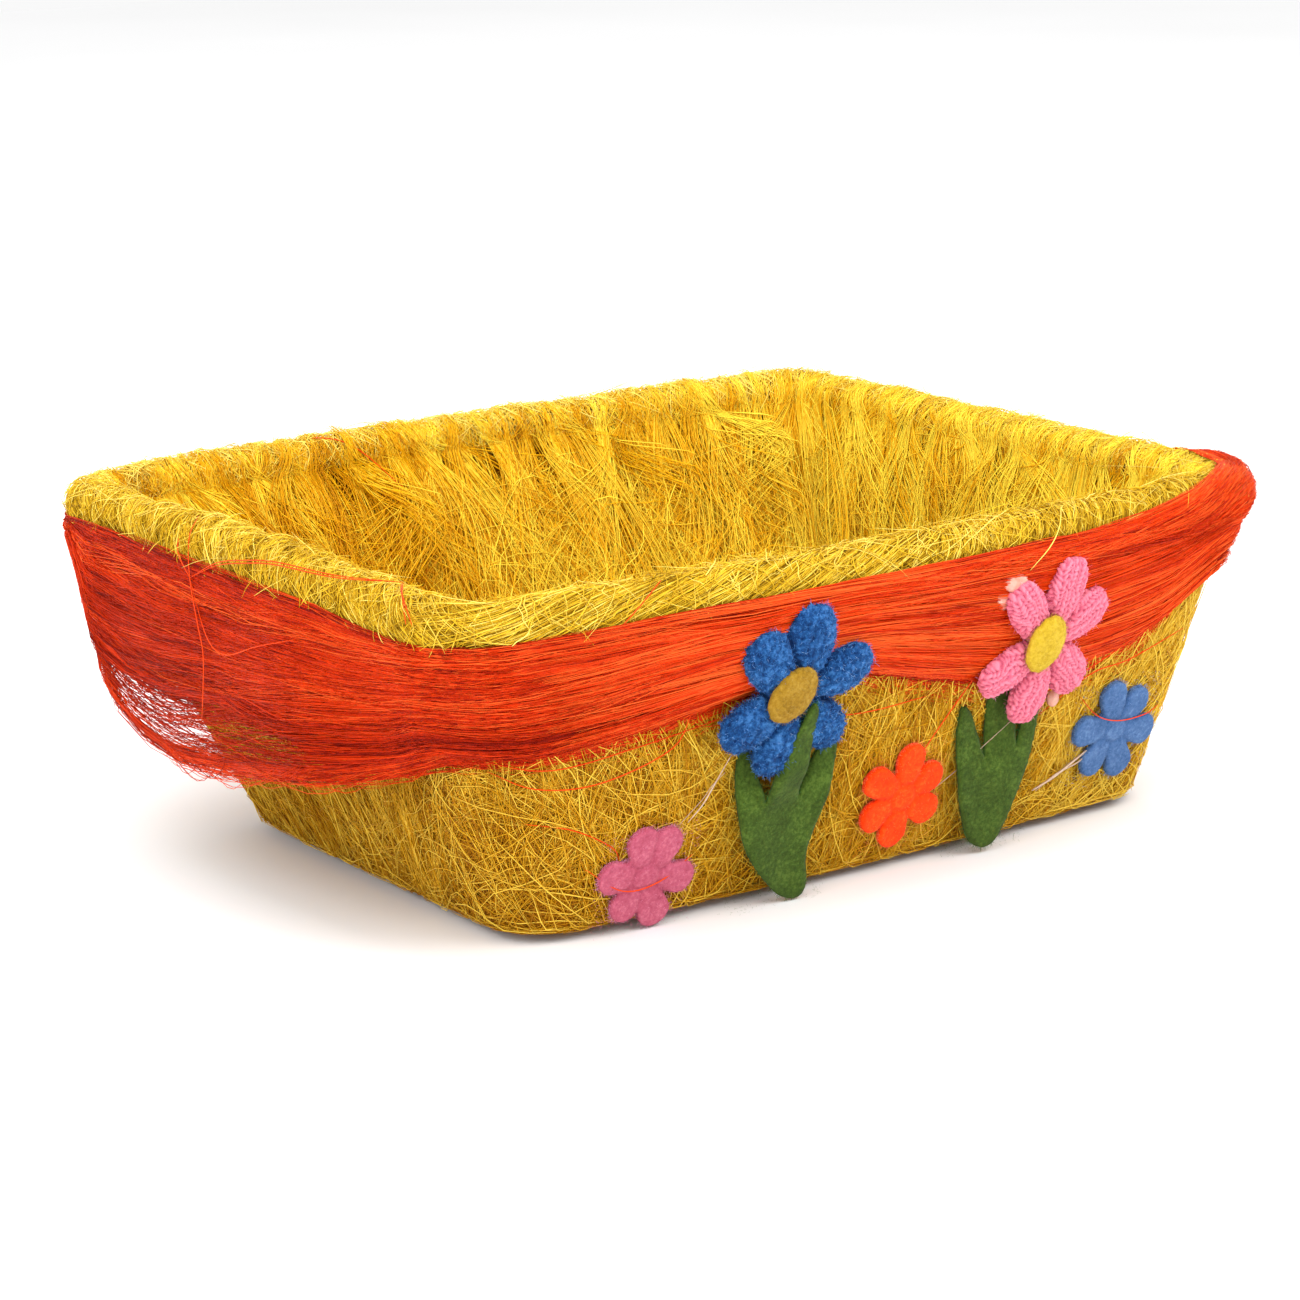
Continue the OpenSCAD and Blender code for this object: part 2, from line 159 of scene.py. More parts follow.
def roll(u, phi, r):
    """Points around the rim wire: phi is 0 outwards, 90 up and 180 inwards."""
    u, phi, r = same_shape(u, phi, r)
    a = np.radians(phi)
    r = r + swell(u) * np.clip(r / ROLL_R, 0, 1)
    xy = look(RIM_PT, u) + look(RIM_OUT, u) * (r * np.cos(a))[..., None]
    return np.concatenate([xy, (RIM_Z + r * np.sin(a))[..., None]], axis=-1)


def u_front(x):
    """Place along the rim of the front's point at x."""
    return np.interp(x, RIM_PT[: LONG_STEPS + 1, 0], RIM_U[: LONG_STEPS + 1])


def u_left(y):
    """Place along the rim of the left side's point at y."""
    pick = slice(MARKS[-2], -CORNER_STEPS)
    return np.interp(-np.asarray(y, float), -RIM_PT[pick, 1], RIM_U[pick])


def smooth(t):
    """Eased step from 0 to 1."""
    t = np.clip(t, 0, 1)
    return t * t * (3 - 2 * t)


# Extra radius of the winding: it is thickest along the middle of the left side
SWELL_U = np.array([
    0, u_front(-60), u_front(0), FRONT_END, RIGHT_START, RIGHT_END, BACK_START,
    BACK_START + 90, BACK_END - 60, BACK_END, LEFT_START, u_left(62), u_left(22),
    u_left(-30), u_left(-62), LEFT_END,
])
SWELL_R = [0.2, 0.0, -0.2, 0.0, 0.0, 0.2, 0.9, 0.2, 0.6, 0.2, 0.0, 1.0, 2.1, 2.1, 0.8, 0.2]


def swell(u):
    """How much thicker than its CAD radius the winding is at u."""
    wobble = 0.4 * np.sin(u * 0.11) + 0.3 * np.sin(u * 0.271 + 1.3)
    return np.interp(np.mod(u, AROUND), SWELL_U, SWELL_R, period=AROUND) + wobble * 0.7


def ripple(rng, size, count=7):
    """Smooth random function of two places, about -1 to 1, with waves near size."""
    turn = rng.uniform(0, TAU, count)
    wave = TAU / (size * rng.uniform(0.6, 1.7, count))
    shift = rng.uniform(0, TAU, count)

    def value(a, b):
        total = 0
        for k in range(count):
            along = a * math.cos(turn[k]) + b * math.sin(turn[k])
            total = total + np.sin(along * wave[k] + shift[k])
        return total / math.sqrt(count)

    return value


# ---- Mesh builders ---------------------------------------------------------

STRAND_SIDES = 3
GROUND = 0.05


def raw_mesh(name, points, faces):
    """Mesh from points in millimetres and a list of arrays of equal-sized faces."""
    me = bpy.data.meshes.new(name)
    me.vertices.add(len(points))
    me.vertices.foreach_set("co", (points * MM).astype(np.float32).ravel())
    corners = np.concatenate([f.ravel() for f in faces]).astype(np.int32)
    sizes = np.concatenate([np.full(len(f), f.shape[1]) for f in faces])
    starts = np.concatenate([[0], np.cumsum(sizes)[:-1]]).astype(np.int32)
    me.loops.add(len(corners))
    me.loops.foreach_set("vertex_index", corners)
    me.polygons.add(len(sizes))
    me.polygons.foreach_set("loop_start", starts)
    me.update(calc_edges=True)
    me.validate()
    me.shade_smooth()
    return me


def link(name, data):
    """New object in the scene."""
    obj = bpy.data.objects.new(name, data)
    bpy.context.scene.collection.objects.link(obj)
    return obj


def solid(name, me, material, replaced=()):
    """Puts a mesh on the basket with its material and hides the CAD nodes it replaces."""
    obj = link(name, me)
    me.materials.append(material)
    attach(obj, "root")
    if replaced:
        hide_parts(*replaced)
    return obj


def add_values(me, name, values):
    """Stores one number a point on the mesh."""
    me.attributes.new(name, "FLOAT", "POINT").data.foreach_set(
        "value", np.asarray(values, np.float32).ravel()
    )


def add_lay(me, places):
    """Stores the mat's own flat places, in millimetres, as the UV layer lay."""
    layer = me.uv_layers.new(name="lay")
    corner = np.zeros(len(me.loops), np.int32)
    me.loops.foreach_get("vertex_index", corner)
    layer.data.foreach_set("uv", (places[corner] * MM).astype(np.float32).ravel())


def quads(ids, flip=False):
    """Faces between the rows and columns of a grid of point numbers."""
    a, b, c, d = ids[:-1, :-1], ids[1:, :-1], ids[1:, 1:], ids[:-1, 1:]
    order = [a, d, c, b] if flip else [a, b, c, d]
    return np.stack(order, axis=-1).reshape(-1, 4)


def grid_ids(rows, cols, closed=True):
    """Point numbers of a grid, its first column again at the end if it is closed."""
    ids = np.arange(rows * cols).reshape(rows, cols)
    return np.concatenate([ids, ids[:, :1]], axis=1) if closed else ids


def shell_mesh(name, outer, inner, uv):
    """Closed sheet between two grids of points, with the outer grid's places as UV."""
    rows, cols = outer.shape[:2]
    count = rows * cols
    ids = grid_ids(rows, cols, False)
    front = quads(ids)
    edge = np.concatenate([ids[:-1, 0], ids[-1, :-1], ids[:0:-1, -1], ids[0, :0:-1]])
    after = np.roll(edge, -1)
    sides = np.stack([after, edge, edge + count, after + count], axis=-1)
    points = np.concatenate([outer.reshape(-1, 3), inner.reshape(-1, 3)])
    me = raw_mesh(name, points, [np.concatenate([front, front[:, ::-1] + count, sides])])
    add_lay(me, np.concatenate([uv.reshape(-1, 2)] * 2))
    return me


def unit(vectors):
    """Vectors of length one along the last axis."""
    return vectors / (np.linalg.norm(vectors, axis=-1, keepdims=True) + 1e-9)


def strand_mesh(name, groups):
    """Thin closed tubes. Each group is (paths (n, k, 3), radius (n,), tint (n,))."""
    points = []
    faces = []
    ends = []
    shades = []
    first = 0
    spin = (TAU * np.arange(STRAND_SIDES) / STRAND_SIDES)[:, None]
    for paths, radius, tint in groups:
        n, k = paths.shape[:2]
        way = unit(np.gradient(paths, axis=1))
        least = np.argmin(np.abs(way).mean(axis=1), axis=1)
        side = unit(np.cross(way, np.eye(3)[least][:, None, :]))
        other = np.cross(way, side)
        taper = 0.4 + 0.6 * np.sin(math.pi * np.linspace(0, 1, k)) ** 0.5
        r = np.broadcast_to(radius, (n,))[:, None] * taper[None, :]
        ring = np.cos(spin) * side[:, :, None, :] + np.sin(spin) * other[:, :, None, :]
        points.append((paths[:, :, None, :] + r[:, :, None, None] * ring).reshape(-1, 3))
        ids = first + np.arange(n * k * STRAND_SIDES).reshape(n, k, STRAND_SIDES)
        around = np.roll(ids, -1, axis=2)
        tube = [ids[:, :-1], around[:, :-1], around[:, 1:], ids[:, 1:]]
        faces.append(np.stack(tube, axis=-1).reshape(-1, 4))
        ends += [ids[:, 0, ::-1], ids[:, -1]]
        shades.append(np.repeat(np.broadcast_to(tint, (n,)), k * STRAND_SIDES))
        first += n * k * STRAND_SIDES
    points = np.concatenate(points)
    points[:, 2] = np.maximum(points[:, 2], GROUND)
    me = raw_mesh(name, points, [np.concatenate(faces), np.concatenate(ends)])
    add_values(me, "tint", np.concatenate(shades))
    return me


def fibres(name, groups, material, replaced=()):
    """Piece made of groups of strands."""
    return solid(name, strand_mesh(name, groups), material, replaced)


# ---- Materials -------------------------------------------------------------

def colour_stops(text):
    """Places and linear colours from text such as '0 94600A 0.5 F4D650'."""
    words = text.split()
    made = []
    for place, code in zip(words[::2], words[1::2]):
        parts = [int(code[i:i + 2], 16) / 255 for i in (0, 2, 4)]
        line = [c / 12.92 if c <= 0.04045 else ((c + 0.055) / 1.055) ** 2.4 for c in parts]
        made.append((float(place), (*line, 1.0)))
    return made


class Nodes:
    """Small helper that adds nodes to one material."""

    def __init__(self, name):
        self.material = bpy.data.materials.new(name)
        self.material.use_nodes = True
        self.tree = self.material.node_tree
        self.shader = self.tree.nodes["Principled BSDF"]

    def feed(self, target, key, value):
        if isinstance(value, bpy.types.NodeSocket):
            self.tree.links.new(value, target.inputs[key])
        else:
            target.inputs[key].default_value = value

    def add(self, kind, settings=None, **values):
        made = self.tree.nodes.new(kind)
        for key, value in (settings or {}).items():
            setattr(made, key, value)
        for key, value in values.items():
            self.feed(made, key, value)
        return made

    def math(self, operation, a, b):
        made = self.add("ShaderNodeMath", {"operation": operation})
        self.feed(made, 0, a)
        self.feed(made, 1, b)
        return made.outputs[0]

    def plus(self, a, b, share=1.0):
        """a plus a share of b."""
        return self.math("ADD", a, self.math("MULTIPLY", b, share))

    def centred(self, value):
        """A 0 to 1 pattern moved to lie round 0."""
        return self.math("SUBTRACT", value, 0.5)

    def ramp(self, value, text):
        made = self.tree.nodes.new("ShaderNodeValToRGB")
        self.tree.links.new(value, made.inputs[0])
        stops = colour_stops(text)
        band = made.color_ramp
        while len(band.elements) < len(stops):
            band.elements.new(0.5)
        for element, (place, colour) in zip(band.elements, stops):
            element.position = place
            element.color = colour
        return made.outputs[0]

    def grain(self, at, scale, detail=2.0, roughness=0.5):
        made = self.add(
            "ShaderNodeTexNoise", Vector=at, Scale=scale, Detail=detail, Roughness=roughness
        )
        return made.outputs[0]

    def values(self, name):
        """The numbers stored on the mesh under a name."""
        return self.add("ShaderNodeAttribute", {"attribute_name": name}).outputs["Fac"]

    def place(self):
        return self.add("ShaderNodeTexCoord").outputs["Object"]

    def bump(self, height, strength, distance):
        made = self.add("ShaderNodeBump", Strength=strength, Distance=distance, Height=height)
        self.tree.links.new(made.outputs[0], self.shader.inputs["Normal"])

    def finish(self, **values):
        """Sets the shader's inputs and gives the material."""
        for key, value in values.items():
            self.feed(self.shader, key.replace("_", " "), value)
        return self.material


def strand_material(name, stops, rough=0.42, patchy=0.45, specks=0.3):
    """Dyed fibre: its colour by strand, with broad patches and small specks."""
    m = Nodes(name)
    at = m.place()
    speck = m.centred(m.grain(at, 700, 1))
    shade = m.plus(m.values("tint"), m.centred(m.grain(at, 55)), patchy)
    m.bump(m.grain(at, 2500, 1), 0.25, 0.0002)
    return m.finish(
        Base_Color=m.ramp(m.plus(shade, speck, specks), stops),
        Roughness=m.plus(rough, speck, 0.5), Specular_IOR_Level=0.1,
    )


def pressed_material(name, stops, turns=(15, 62, 101, 150)):
    """Pressed fibre sheet with streaks that run at some turns from its length."""
    m = Nodes(name)
    lay = m.add("ShaderNodeUVMap", {"uv_map": "lay"}).outputs[0]
    streaks = None
    for turn in turns:
        spun = m.add("ShaderNodeMapping", Vector=lay, Rotation=(0, 0, math.radians(turn)))
        drawn = m.add("ShaderNodeMapping", Vector=spun.outputs[0], Scale=(45, 1500, 1))
        streak = m.grain(drawn.outputs[0], 1.0)
        streaks = streak if streaks is None else m.math("MAXIMUM", streaks, streak)
    shade = m.math("MULTIPLY", m.centred(streaks), 2.6)
    shade = m.plus(shade, m.centred(m.grain(m.place(), 60, 3)), 0.5)
    m.bump(streaks, 0.8, 0.0008)
    return m.finish(Base_Color=m.ramp(shade, stops), Roughness=0.62, Specular_IOR_Level=0.06)


def felt_material(name, stops, scale=900, depth=0.35):
    """Felted wool: matted specks of two sizes, with painted shade in the creases and dents the
    mesh marks.
    """
    m = Nodes(name)
    at = m.place()
    fine = m.grain(at, scale, 6, 0.7)
    broad = m.grain(at, scale / 6, 3, 0.6)
    shade = m.plus(m.math("MULTIPLY", fine, 0.65), broad, 0.35)
    shade = m.plus(0.5, m.centred(shade), 1.9)
    # painted shade: darker where the mesh marks creases and dents
    shade = m.plus(shade, m.values("crease"), -0.3)
    m.bump(fine, depth, 0.0006)
    return m.finish(
        Base_Color=m.ramp(shade, stops), Roughness=0.92, Specular_IOR_Level=0.06,
        Sheen_Weight=0.04, Sheen_Roughness=0.6,
    )


def knit_material(name, stops):
    """Knitted yarn with painted light and shade: lighter on each stitch and darker between them.
    """
    m = Nodes(name)
    twist = m.grain(m.place(), 1500, 4, 0.6)
    # painted light and shade from the stitch values stored on the mesh
    shade = m.plus(m.math("MULTIPLY", m.values("stitch"), 0.8), twist, 0.3)
    m.bump(twist, 0.4, 0.0004)
    return m.finish(
        Base_Color=m.ramp(shade, stops), Roughness=0.85, Specular_IOR_Level=0.08,
        Sheen_Weight=0.04,
    )


def wire_material():
    """Galvanised steel wire with a mottled grey skin."""
    m = Nodes("galvanised_wire")
    mottle = m.grain(m.place(), 900, 4, 0.6)
    m.bump(mottle, 0.2, 0.0002)
    return m.finish(
        Base_Color=m.ramp(mottle, "0.3 6F7173 0.5 8F9192 0.7 B4B6B6"),
        Roughness=m.plus(0.25, mottle, 0.4), Metallic=0.9,
    )


def glue_material(name, stops, clear, rough):
    """Set hot glue: milky, partly clear and wet looking."""
    m = Nodes(name)
    cloud = m.grain(m.place(), 500, 3)
    m.bump(cloud, 0.2, 0.0005)
    return m.finish(
        Base_Color=m.ramp(cloud, stops), Roughness=m.plus(rough, cloud, 0.2),
        Transmission_Weight=clear, IOR=1.45,
    )


STRAW = strand_material("sisal_straw", "0 8E5606 0.3 B67A08 0.6 D69E16 1 F2CC48")
LOCKS = strand_material("sisal_locks", "0 9E6000 0.3 D49200 0.6 F2B608 1 FFE444")
ROVING = strand_material("sisal_roving", "0 8C680A 0.3 CA9C12 0.6 E8C02A 1 FFE870")
COMBED = strand_material(
    "sisal_combed", "0 8A1000 0.3 C22800 0.6 E63E04 1 F86828", 0.4, 0.3, 0.1
)
ALONG = (8, -8, 3)
OUTER_MAT = pressed_material("pressed_straw", "0 744604 0.4 A66C06 0.8 C89410")
LINING_MAT = pressed_material("pressed_lining", "0 824C00 0.4 C48602 0.8 EAB00C")
RIM_MAT = pressed_material("packed_roving", "0 7A5A0A 0.4 B98E16 0.8 DDB42E", ALONG)
SASH_MAT = pressed_material("packed_sash", "0 740A00 0.4 AE1E00 0.8 D43404", ALONG)
BLUE_WOOL = felt_material("blue_wool", "0 051C40 0.3 0B2C5A 0.5 1B4A80 0.7 3E74B0", 700, 0.45)
BLUE_FELT = felt_material("blue_felt", "0 203C66 0.3 3A5A88 0.55 4A6A98 0.75 6080AC")
GREEN_FELT = felt_material("green_felt", "0 1E2C08 0.3 2E4010 0.55 3E541A 0.75 526A26")
PINK_FELT = felt_material("pink_felt", "0 7A2A42 0.3 A4465C 0.55 B4566C 0.75 C66C80")
ORANGE_FELT = felt_material("orange_felt", "0 A81C00 0.3 EA3400 0.55 F84206 0.75 FF5A1A")
OCHRE_FELT = felt_material("ochre_felt", "0 54400A 0.3 806014 0.5 96721E 0.75 AC8A36")
YELLOW_FELT = felt_material("yellow_felt", "0 8A6A0C 0.3 AE8E1A 0.5 C2A228 0.75 D2B43C")
PINK_KNIT = knit_material("pink_knit", "0 A8485E 0.35 CC5E76 0.9 EA8296")
GLUE = glue_material("hot_glue", "0.3 EE9C80 0.7 FFC8B4", 0.3, 0.12)
GLUE_THREAD = glue_material("glue_thread", "0.3 D8AE8C 0.7 F2DCC8", 0.25, 0.3)
WIRE = wire_material()


# ---- Strand paths ----------------------------------------------------------

def walk(angle, length):
    """Sideways and upward run of strands that turn by their angles from point to point."""
    step = length[:, None] / (angle.shape[1] - 1)
    return np.cumsum(np.cos(angle) * step, axis=1), np.cumsum(np.sin(angle) * step, axis=1)


def scatter(rng, n, us, zs, lengths, ws, bend=0.8, k=7, spread=None):
    """Curved strands on the wall, weaving over and under each other.

    They lie at random, or near the upright with a given spread.
    """
    u = rng.uniform(*us, n)
    z = rng.uniform(*zs, n)
    length = rng.uniform(*lengths, n)
    if spread is None:
        turn = rng.uniform(0, math.pi, n)
    else:
        turn = math.radians(90) + rng.normal(0, spread, n)
    s = np.linspace(-0.5, 0.5, k)
    angle = turn[:, None] + rng.normal(0, bend, n)[:, None] * s
    angle = angle + rng.normal(0, bend / 3, n)[:, None] * np.sin(TAU * s)
    du, dz = walk(angle, length)
    du -= du.mean(axis=1, keepdims=True)
    dz -= dz.mean(axis=1, keepdims=True)
    w = rng.uniform(*ws, n)[:, None]
    w = w + rng.uniform(0.1, 0.5, n)[:, None] * np.sin(
        rng.uniform(0, TAU, n)[:, None] + rng.uniform(4, 10, n)[:, None] * s
    )
    return u[:, None] + du, z[:, None] + dz, w


def straw_fans(rng, fans, each, us, zs, lengths, ws):
    """Bunches of long straight straws that spread from one place."""
    n = fans * each
    fan = np.repeat(np.arange(fans), each)
    u = rng.uniform(*us, fans)[fan] + rng.normal(0, 1.5, n)
    z = rng.uniform(*zs, fans)[fan] + rng.normal(0, 1.5, n)
    turn = rng.normal(math.radians(84), 0.55, fans)[fan] + rng.normal(0, 0.13, n)
    length = rng.uniform(*lengths, n)
    s = np.linspace(-0.35, 0.65, 8)
    curl = rng.normal(0, 0.5, fans)[fan] + rng.normal(0, 0.15, n)
    du, dz = walk(turn[:, None] + curl[:, None] * s, length)
    w = rng.uniform(*ws, n)[:, None] + 0.3 * np.sin(rng.uniform(0, TAU, n)[:, None] + 6 * s)
    return u[:, None] + du - du[:, 2:3], z[:, None] + dz - dz[:, 2:3], w


def tints(rng, n, middle=0.5, spread=0.22):
    """Random shade of each strand."""
    return np.clip(rng.normal(middle, spread, n), 0, 1)


def keep_between(rng, z):
    """Shifts strands so that each keeps between a floor and a ceiling of its own."""
    low = rng.uniform(10, 30, (len(z), 1))
    high = rng.uniform(66, 92, (len(z), 1))
    z = z + np.maximum(low - z.min(axis=1, keepdims=True), 0)
    z = z - np.maximum(z.max(axis=1, keepdims=True) - high, 0)
    return np.maximum(z, 10 + 0.1 * low)


# ---- Walls -----------------------------------------------------------------

MAT_OUT = 3.8
MAT_IN = 1.2
MAT_TOP = RIM_Z - ROLL_R + 1.6
MAT_CELL = 2.0
LUMPS = 0.35
LINING_FOOT = 8.0
STRAW_TOP = 90
FAN = 14
ROLL_SHARE = 0.2


def wall_mat(name, side, sign, z0, material, node, seed):
    """Pressed sisal sheet of one wall, lumpy on its visible face.

    The sign is 1 for the outer mat and -1 for the lining.
    """
    rng = np.random.default_rng(seed)
    lump = ripple(rng, 9)
    small = ripple(rng, 3.5)
    start, end = SIDES[side]
    us = np.linspace(start, end, int((end - start) / MAT_CELL) + 1)
    zs = np.linspace(z0, MAT_TOP, int((MAT_TOP - z0) / MAT_CELL) + 1)
    u, z = np.meshgrid(us, zs, indexing="ij")
    w = sign * MAT_OUT + sign * (LUMPS * lump(u, z) + 0.5 * LUMPS * small(u, z) - LUMPS)
    grids = (wall(u, z, w), wall(u, z, sign * MAT_IN), np.stack([u, z], axis=-1))
    me = shell_mesh(name, *(grid[::sign] for grid in grids))
    obj = solid(name, me, material, [node])


def outer_straws(side, count, seed):
    """Loose straw-like fibres that criss-cross on the outside of one wall."""
    rng = np.random.default_rng(seed)
    us = (SIDES[side][0] + 2, SIDES[side][1] - 2)
    fans = int(count * 0.4 / FAN)
    groups = []

    def lay(places, radius, middle):
        """Keeps strands above the foot. The front's right end gets a painted highlight: its
        strands are painted paler than the rest.
        """
        u, z, w = places
        n = len(u)
        z = np.maximum(z, FOOT_Z + rng.uniform(0, 2.5, (n, 1)))
        # painted highlight: the front's right end, where the light falls, is painted paler
        pale = 0.3 * smooth((u[:, 0] - u_front(52)) / 50) * (side == "front")
        shade = tints(rng, n, middle) + pale
        groups.append((wall(u, np.minimum(z, STRAW_TOP), w), rng.uniform(*radius, n), shade))

    half = count // 2
    rest = count - half - fans * FAN
    lay(scatter(rng, half, us, (3, 80), (24, 70), (3.4, 4.6), 0.55), (0.09, 0.17), 0.42)
    lay(straw_fans(rng, fans, FAN, us, (4, 72), (30, 75), (3.7, 5.0)), (0.09, 0.16), 0.58)
    lay(scatter(rng, rest, us, (4, 64), (20, 60), (4.3, 5.4), 1.0), (0.11, 0.19), 0.78)
    fibres("outer_straws_" + side, groups, STRAW)


def lock_hang(rng, n, us, phi0, z_end, locks, waves, slant, gather=2.6, proud=3.6):
    """Strands in locks that start on the roll and hang inside the wall, and their shades."""
    lock = rng.integers(0, locks, n)
    at = rng.uniform(*us, locks)[lock] + rng.normal(0, gather, n)
    lean = rng.normal(slant, 17, locks)[lock] + rng.normal(0, 5, n)
    sway = rng.normal(0, waves, locks)[lock] + rng.normal(0, waves * 0.35, n)
    phase = rng.uniform(0, TAU, locks)[lock] + rng.normal(0, 0.4, n)
    beat = rng.uniform(3.5, 9, locks)[lock]
    start = rng.uniform(*phi0, n)
    low = rng.uniform(*z_end, locks)[lock] + rng.normal(0, 8, n)
    off = rng.uniform(0, proud, locks)[lock] + rng.uniform(0, 1.8, n)
    shade = rng.normal(0, 0.16, locks)[lock]
    own = rng.normal(0, 0.5 * gather, n)
    turn = rng.uniform(0, TAU, n)
    at, lean, sway, phase, beat = (v[:, None] for v in (at, lean, sway, phase, beat))
    start, low, off, own, turn = (v[:, None] for v in (start, low, off, own, turn))
    s = np.linspace(0, 1, 11)
    a = np.clip(s / ROLL_SHARE, 0, 1)
    b = np.clip((s - ROLL_SHARE) / (1 - ROLL_SHARE), 0, 1)
    u = at + lean * s + (sway * s) * np.sin(phase + beat * s)
    u = np.clip(u + own * s * np.sin(turn + 9 * s), us[0] - 3, us[1] + 3)
    r = ROLL_R + 0.1 + 0.22 * off
    up = roll(u, start + (190 - start) * a, r)
    side_z = RIM_Z + r * np.sin(np.radians(190))
    z = side_z + (low - side_z) * b
    w = -(r + (MAT_OUT + 0.6 + off - r) * smooth(b * 1.8))
    w = w - 0.8 * np.abs(own) * np.sin(turn + 6 * b) * b
    down = wall(u, np.clip(z, 12, 97), w)
    return np.where((b > 0)[None, :, None], down, up), shade


# Loose strands of the lining: share, lengths, bend, heights, spread from the
# upright, middle shade, how far they stand off
LOOSE = [
    (0.34, (50, 110), 1.2, (14, 84), 0.6, 0.6, 2.6),
    (0.28, (22, 60), 4.0, (14, 88), None, 0.45, 3.0),
    (0.22, (40, 100), 1.8, (14, 86), None, 0.72, 5.5),
    (0.16, (25, 70), 3.6, (13, 48), None, 0.75, 14.0),
]


def lining_locks(side, count, seed, share, slant, waves, phi0=(135, 188), light=0.0, painted_shade_drift=0.0):
    """Tresses, long loose waves and curly tangles on the inside of one wall."""
    rng = np.random.default_rng(seed)
    puff = ripple(rng, 24)
    us = (SIDES[side][0] + 1, SIDES[side][1] - 1)
    n1 = int(count * share)
    paths, shade = lock_hang(rng, n1, us, phi0, (12, 84), n1 // 20, waves, slant)
    groups = [(paths, rng.uniform(0.11, 0.19, n1), tints(rng, n1, 0.5, 0.16) + shade)]
    locks = count // 75
    n2 = locks * 26
    paths, shade = lock_hang(rng, n2, us, phi0, (14, 72), locks, waves * 1.8, slant, 1.1, 7.0)
    groups.append((paths, rng.uniform(0.12, 0.2, n2), tints(rng, n2, 0.66, 0.14) + shade))
    for part, lengths, bend, zs, spread, middle, proud in LOOSE:
        n = int((count - n1) * part)
        u, z, w = scatter(rng, n, us, zs, lengths, (0, proud), bend, 10, spread)
        u = np.clip(u, us[0] - 3, us[1] + 3)
        z = keep_between(rng, z)
        w = -(4.1 + 1.5 * (1 + puff(u, z)).clip(0, 2.4) + w)
        groups.append((wall(u, z, w), rng.uniform(0.1, 0.19, n), tints(rng, n, middle)))
    # painted light and shade: the whole wall is painted lighter by a set amount, and painted
    # darker towards one end and lighter towards the other
    centre = wall((us[0] + us[1]) / 2, 50, 0)
    way = wall(us[1], 50, 0) - centre
    groups = [
        (paths, radius, tint + light + painted_shade_drift * (paths.mean(axis=1) - centre) @ way / (way @ way))
        for paths, radius, tint in groups
    ]
    fibres("lining_locks_" + side, groups, LOCKS)


# ---- Floor and base --------------------------------------------------------

FLOOR_W = -4.2
UNDER_W = -5.4
BASE_MAT_W = -1.4
BASE_BEVEL = 3.6


def inside_outline(x, y, w):
    """True where a point is inside the base outline moved w outwards."""
    ring = BASE_PT + BASE_OUT * w
    centre = ring.mean(axis=0)
    arm = ring[:-1] - centre
    turn = np.arctan2(arm[:, 1], arm[:, 0])
    order = np.argsort(turn)
    reach = np.hypot(*arm.T)[order]
    x = x - centre[0]
    y = y - centre[1]
    return np.hypot(x, y) < np.interp(np.arctan2(y, x), turn[order], reach, period=TAU)


def flat_strands(rng, n, w, heights, lengths, bend):
    """Curved strands at random heights over the base."""
    low = BASE_PT.min(axis=0)
    high = BASE_PT.max(axis=0)
    s = np.linspace(-0.5, 0.5, 7)
    made = []
    while sum(len(p) for p in made) < n:
        x = rng.uniform(low[0], high[0], n)[:, None]
        y = rng.uniform(low[1], high[1], n)[:, None]
        length = rng.uniform(*lengths, n)
        angle = rng.uniform(0, math.pi, n)[:, None] + rng.normal(0, bend, n)[:, None] * s
        dx, dy = walk(angle, length)
        x = x + dx - dx.mean(axis=1, keepdims=True)
        y = y + dy - dy.mean(axis=1, keepdims=True)
        z = rng.uniform(*heights, n)[:, None]
        z = z + 0.25 * np.sin(rng.uniform(0, TAU, n)[:, None] + 7 * s)
        keep = inside_outline(x, y, w).all(axis=1)
        made.append(np.stack([x, y, z], axis=-1)[keep])
    return np.concatenate(made)[:n]


def base_sheet(name, node, w, material, seed, top, bevel=0.0):
    """Flat sisal sheet of the base's outline, built as rings round its middle."""
    rng = np.random.default_rng(seed)
    lump = ripple(rng, 10)
    z0, z1 = (corner[2] for corner in box_mm(node))
    ring = (BASE_PT + BASE_OUT * w)[:-1]
    shares = np.concatenate([np.linspace(1, 0.04, 40), [0.0]])[:, None]
    xy = BASE_MIDDLE + (ring - BASE_MIDDLE)[None, :, :] * shares[:, :, None]
    bumps = 0.25 * lump(xy[..., 0], xy[..., 1])
    edge = smooth((1 - shares) * 12)
    high = z1 - 0.35 + top * bumps * edge
    low = z0 + 0.2 + (not top) * (bumps * 0.5 + 0.1) * edge
    inward = 1 - bevel / np.linalg.norm(ring - BASE_MIDDLE, axis=1).mean()
    low_xy = BASE_MIDDLE + (xy - BASE_MIDDLE) * inward
    points = np.concatenate([
        np.concatenate([xy, high[..., None]], axis=-1).reshape(-1, 3),
        np.concatenate([low_xy, low[..., None]], axis=-1).reshape(-1, 3),
    ])
    ids = grid_ids(len(shares), len(ring))
    count = len(shares) * len(ring)
    face = quads(ids, True)
    here, after = ids[0, :-1], ids[0, 1:]
    side = np.stack([after, here, here + count, after + count], axis=-1)
    me = raw_mesh(name, points, [np.concatenate([face, face[:, ::-1] + count, side])])
    add_lay(me, points[:, :2])
    obj = solid(name, me, material, [node])


# ---- Rim windings ----------------------------------------------------------

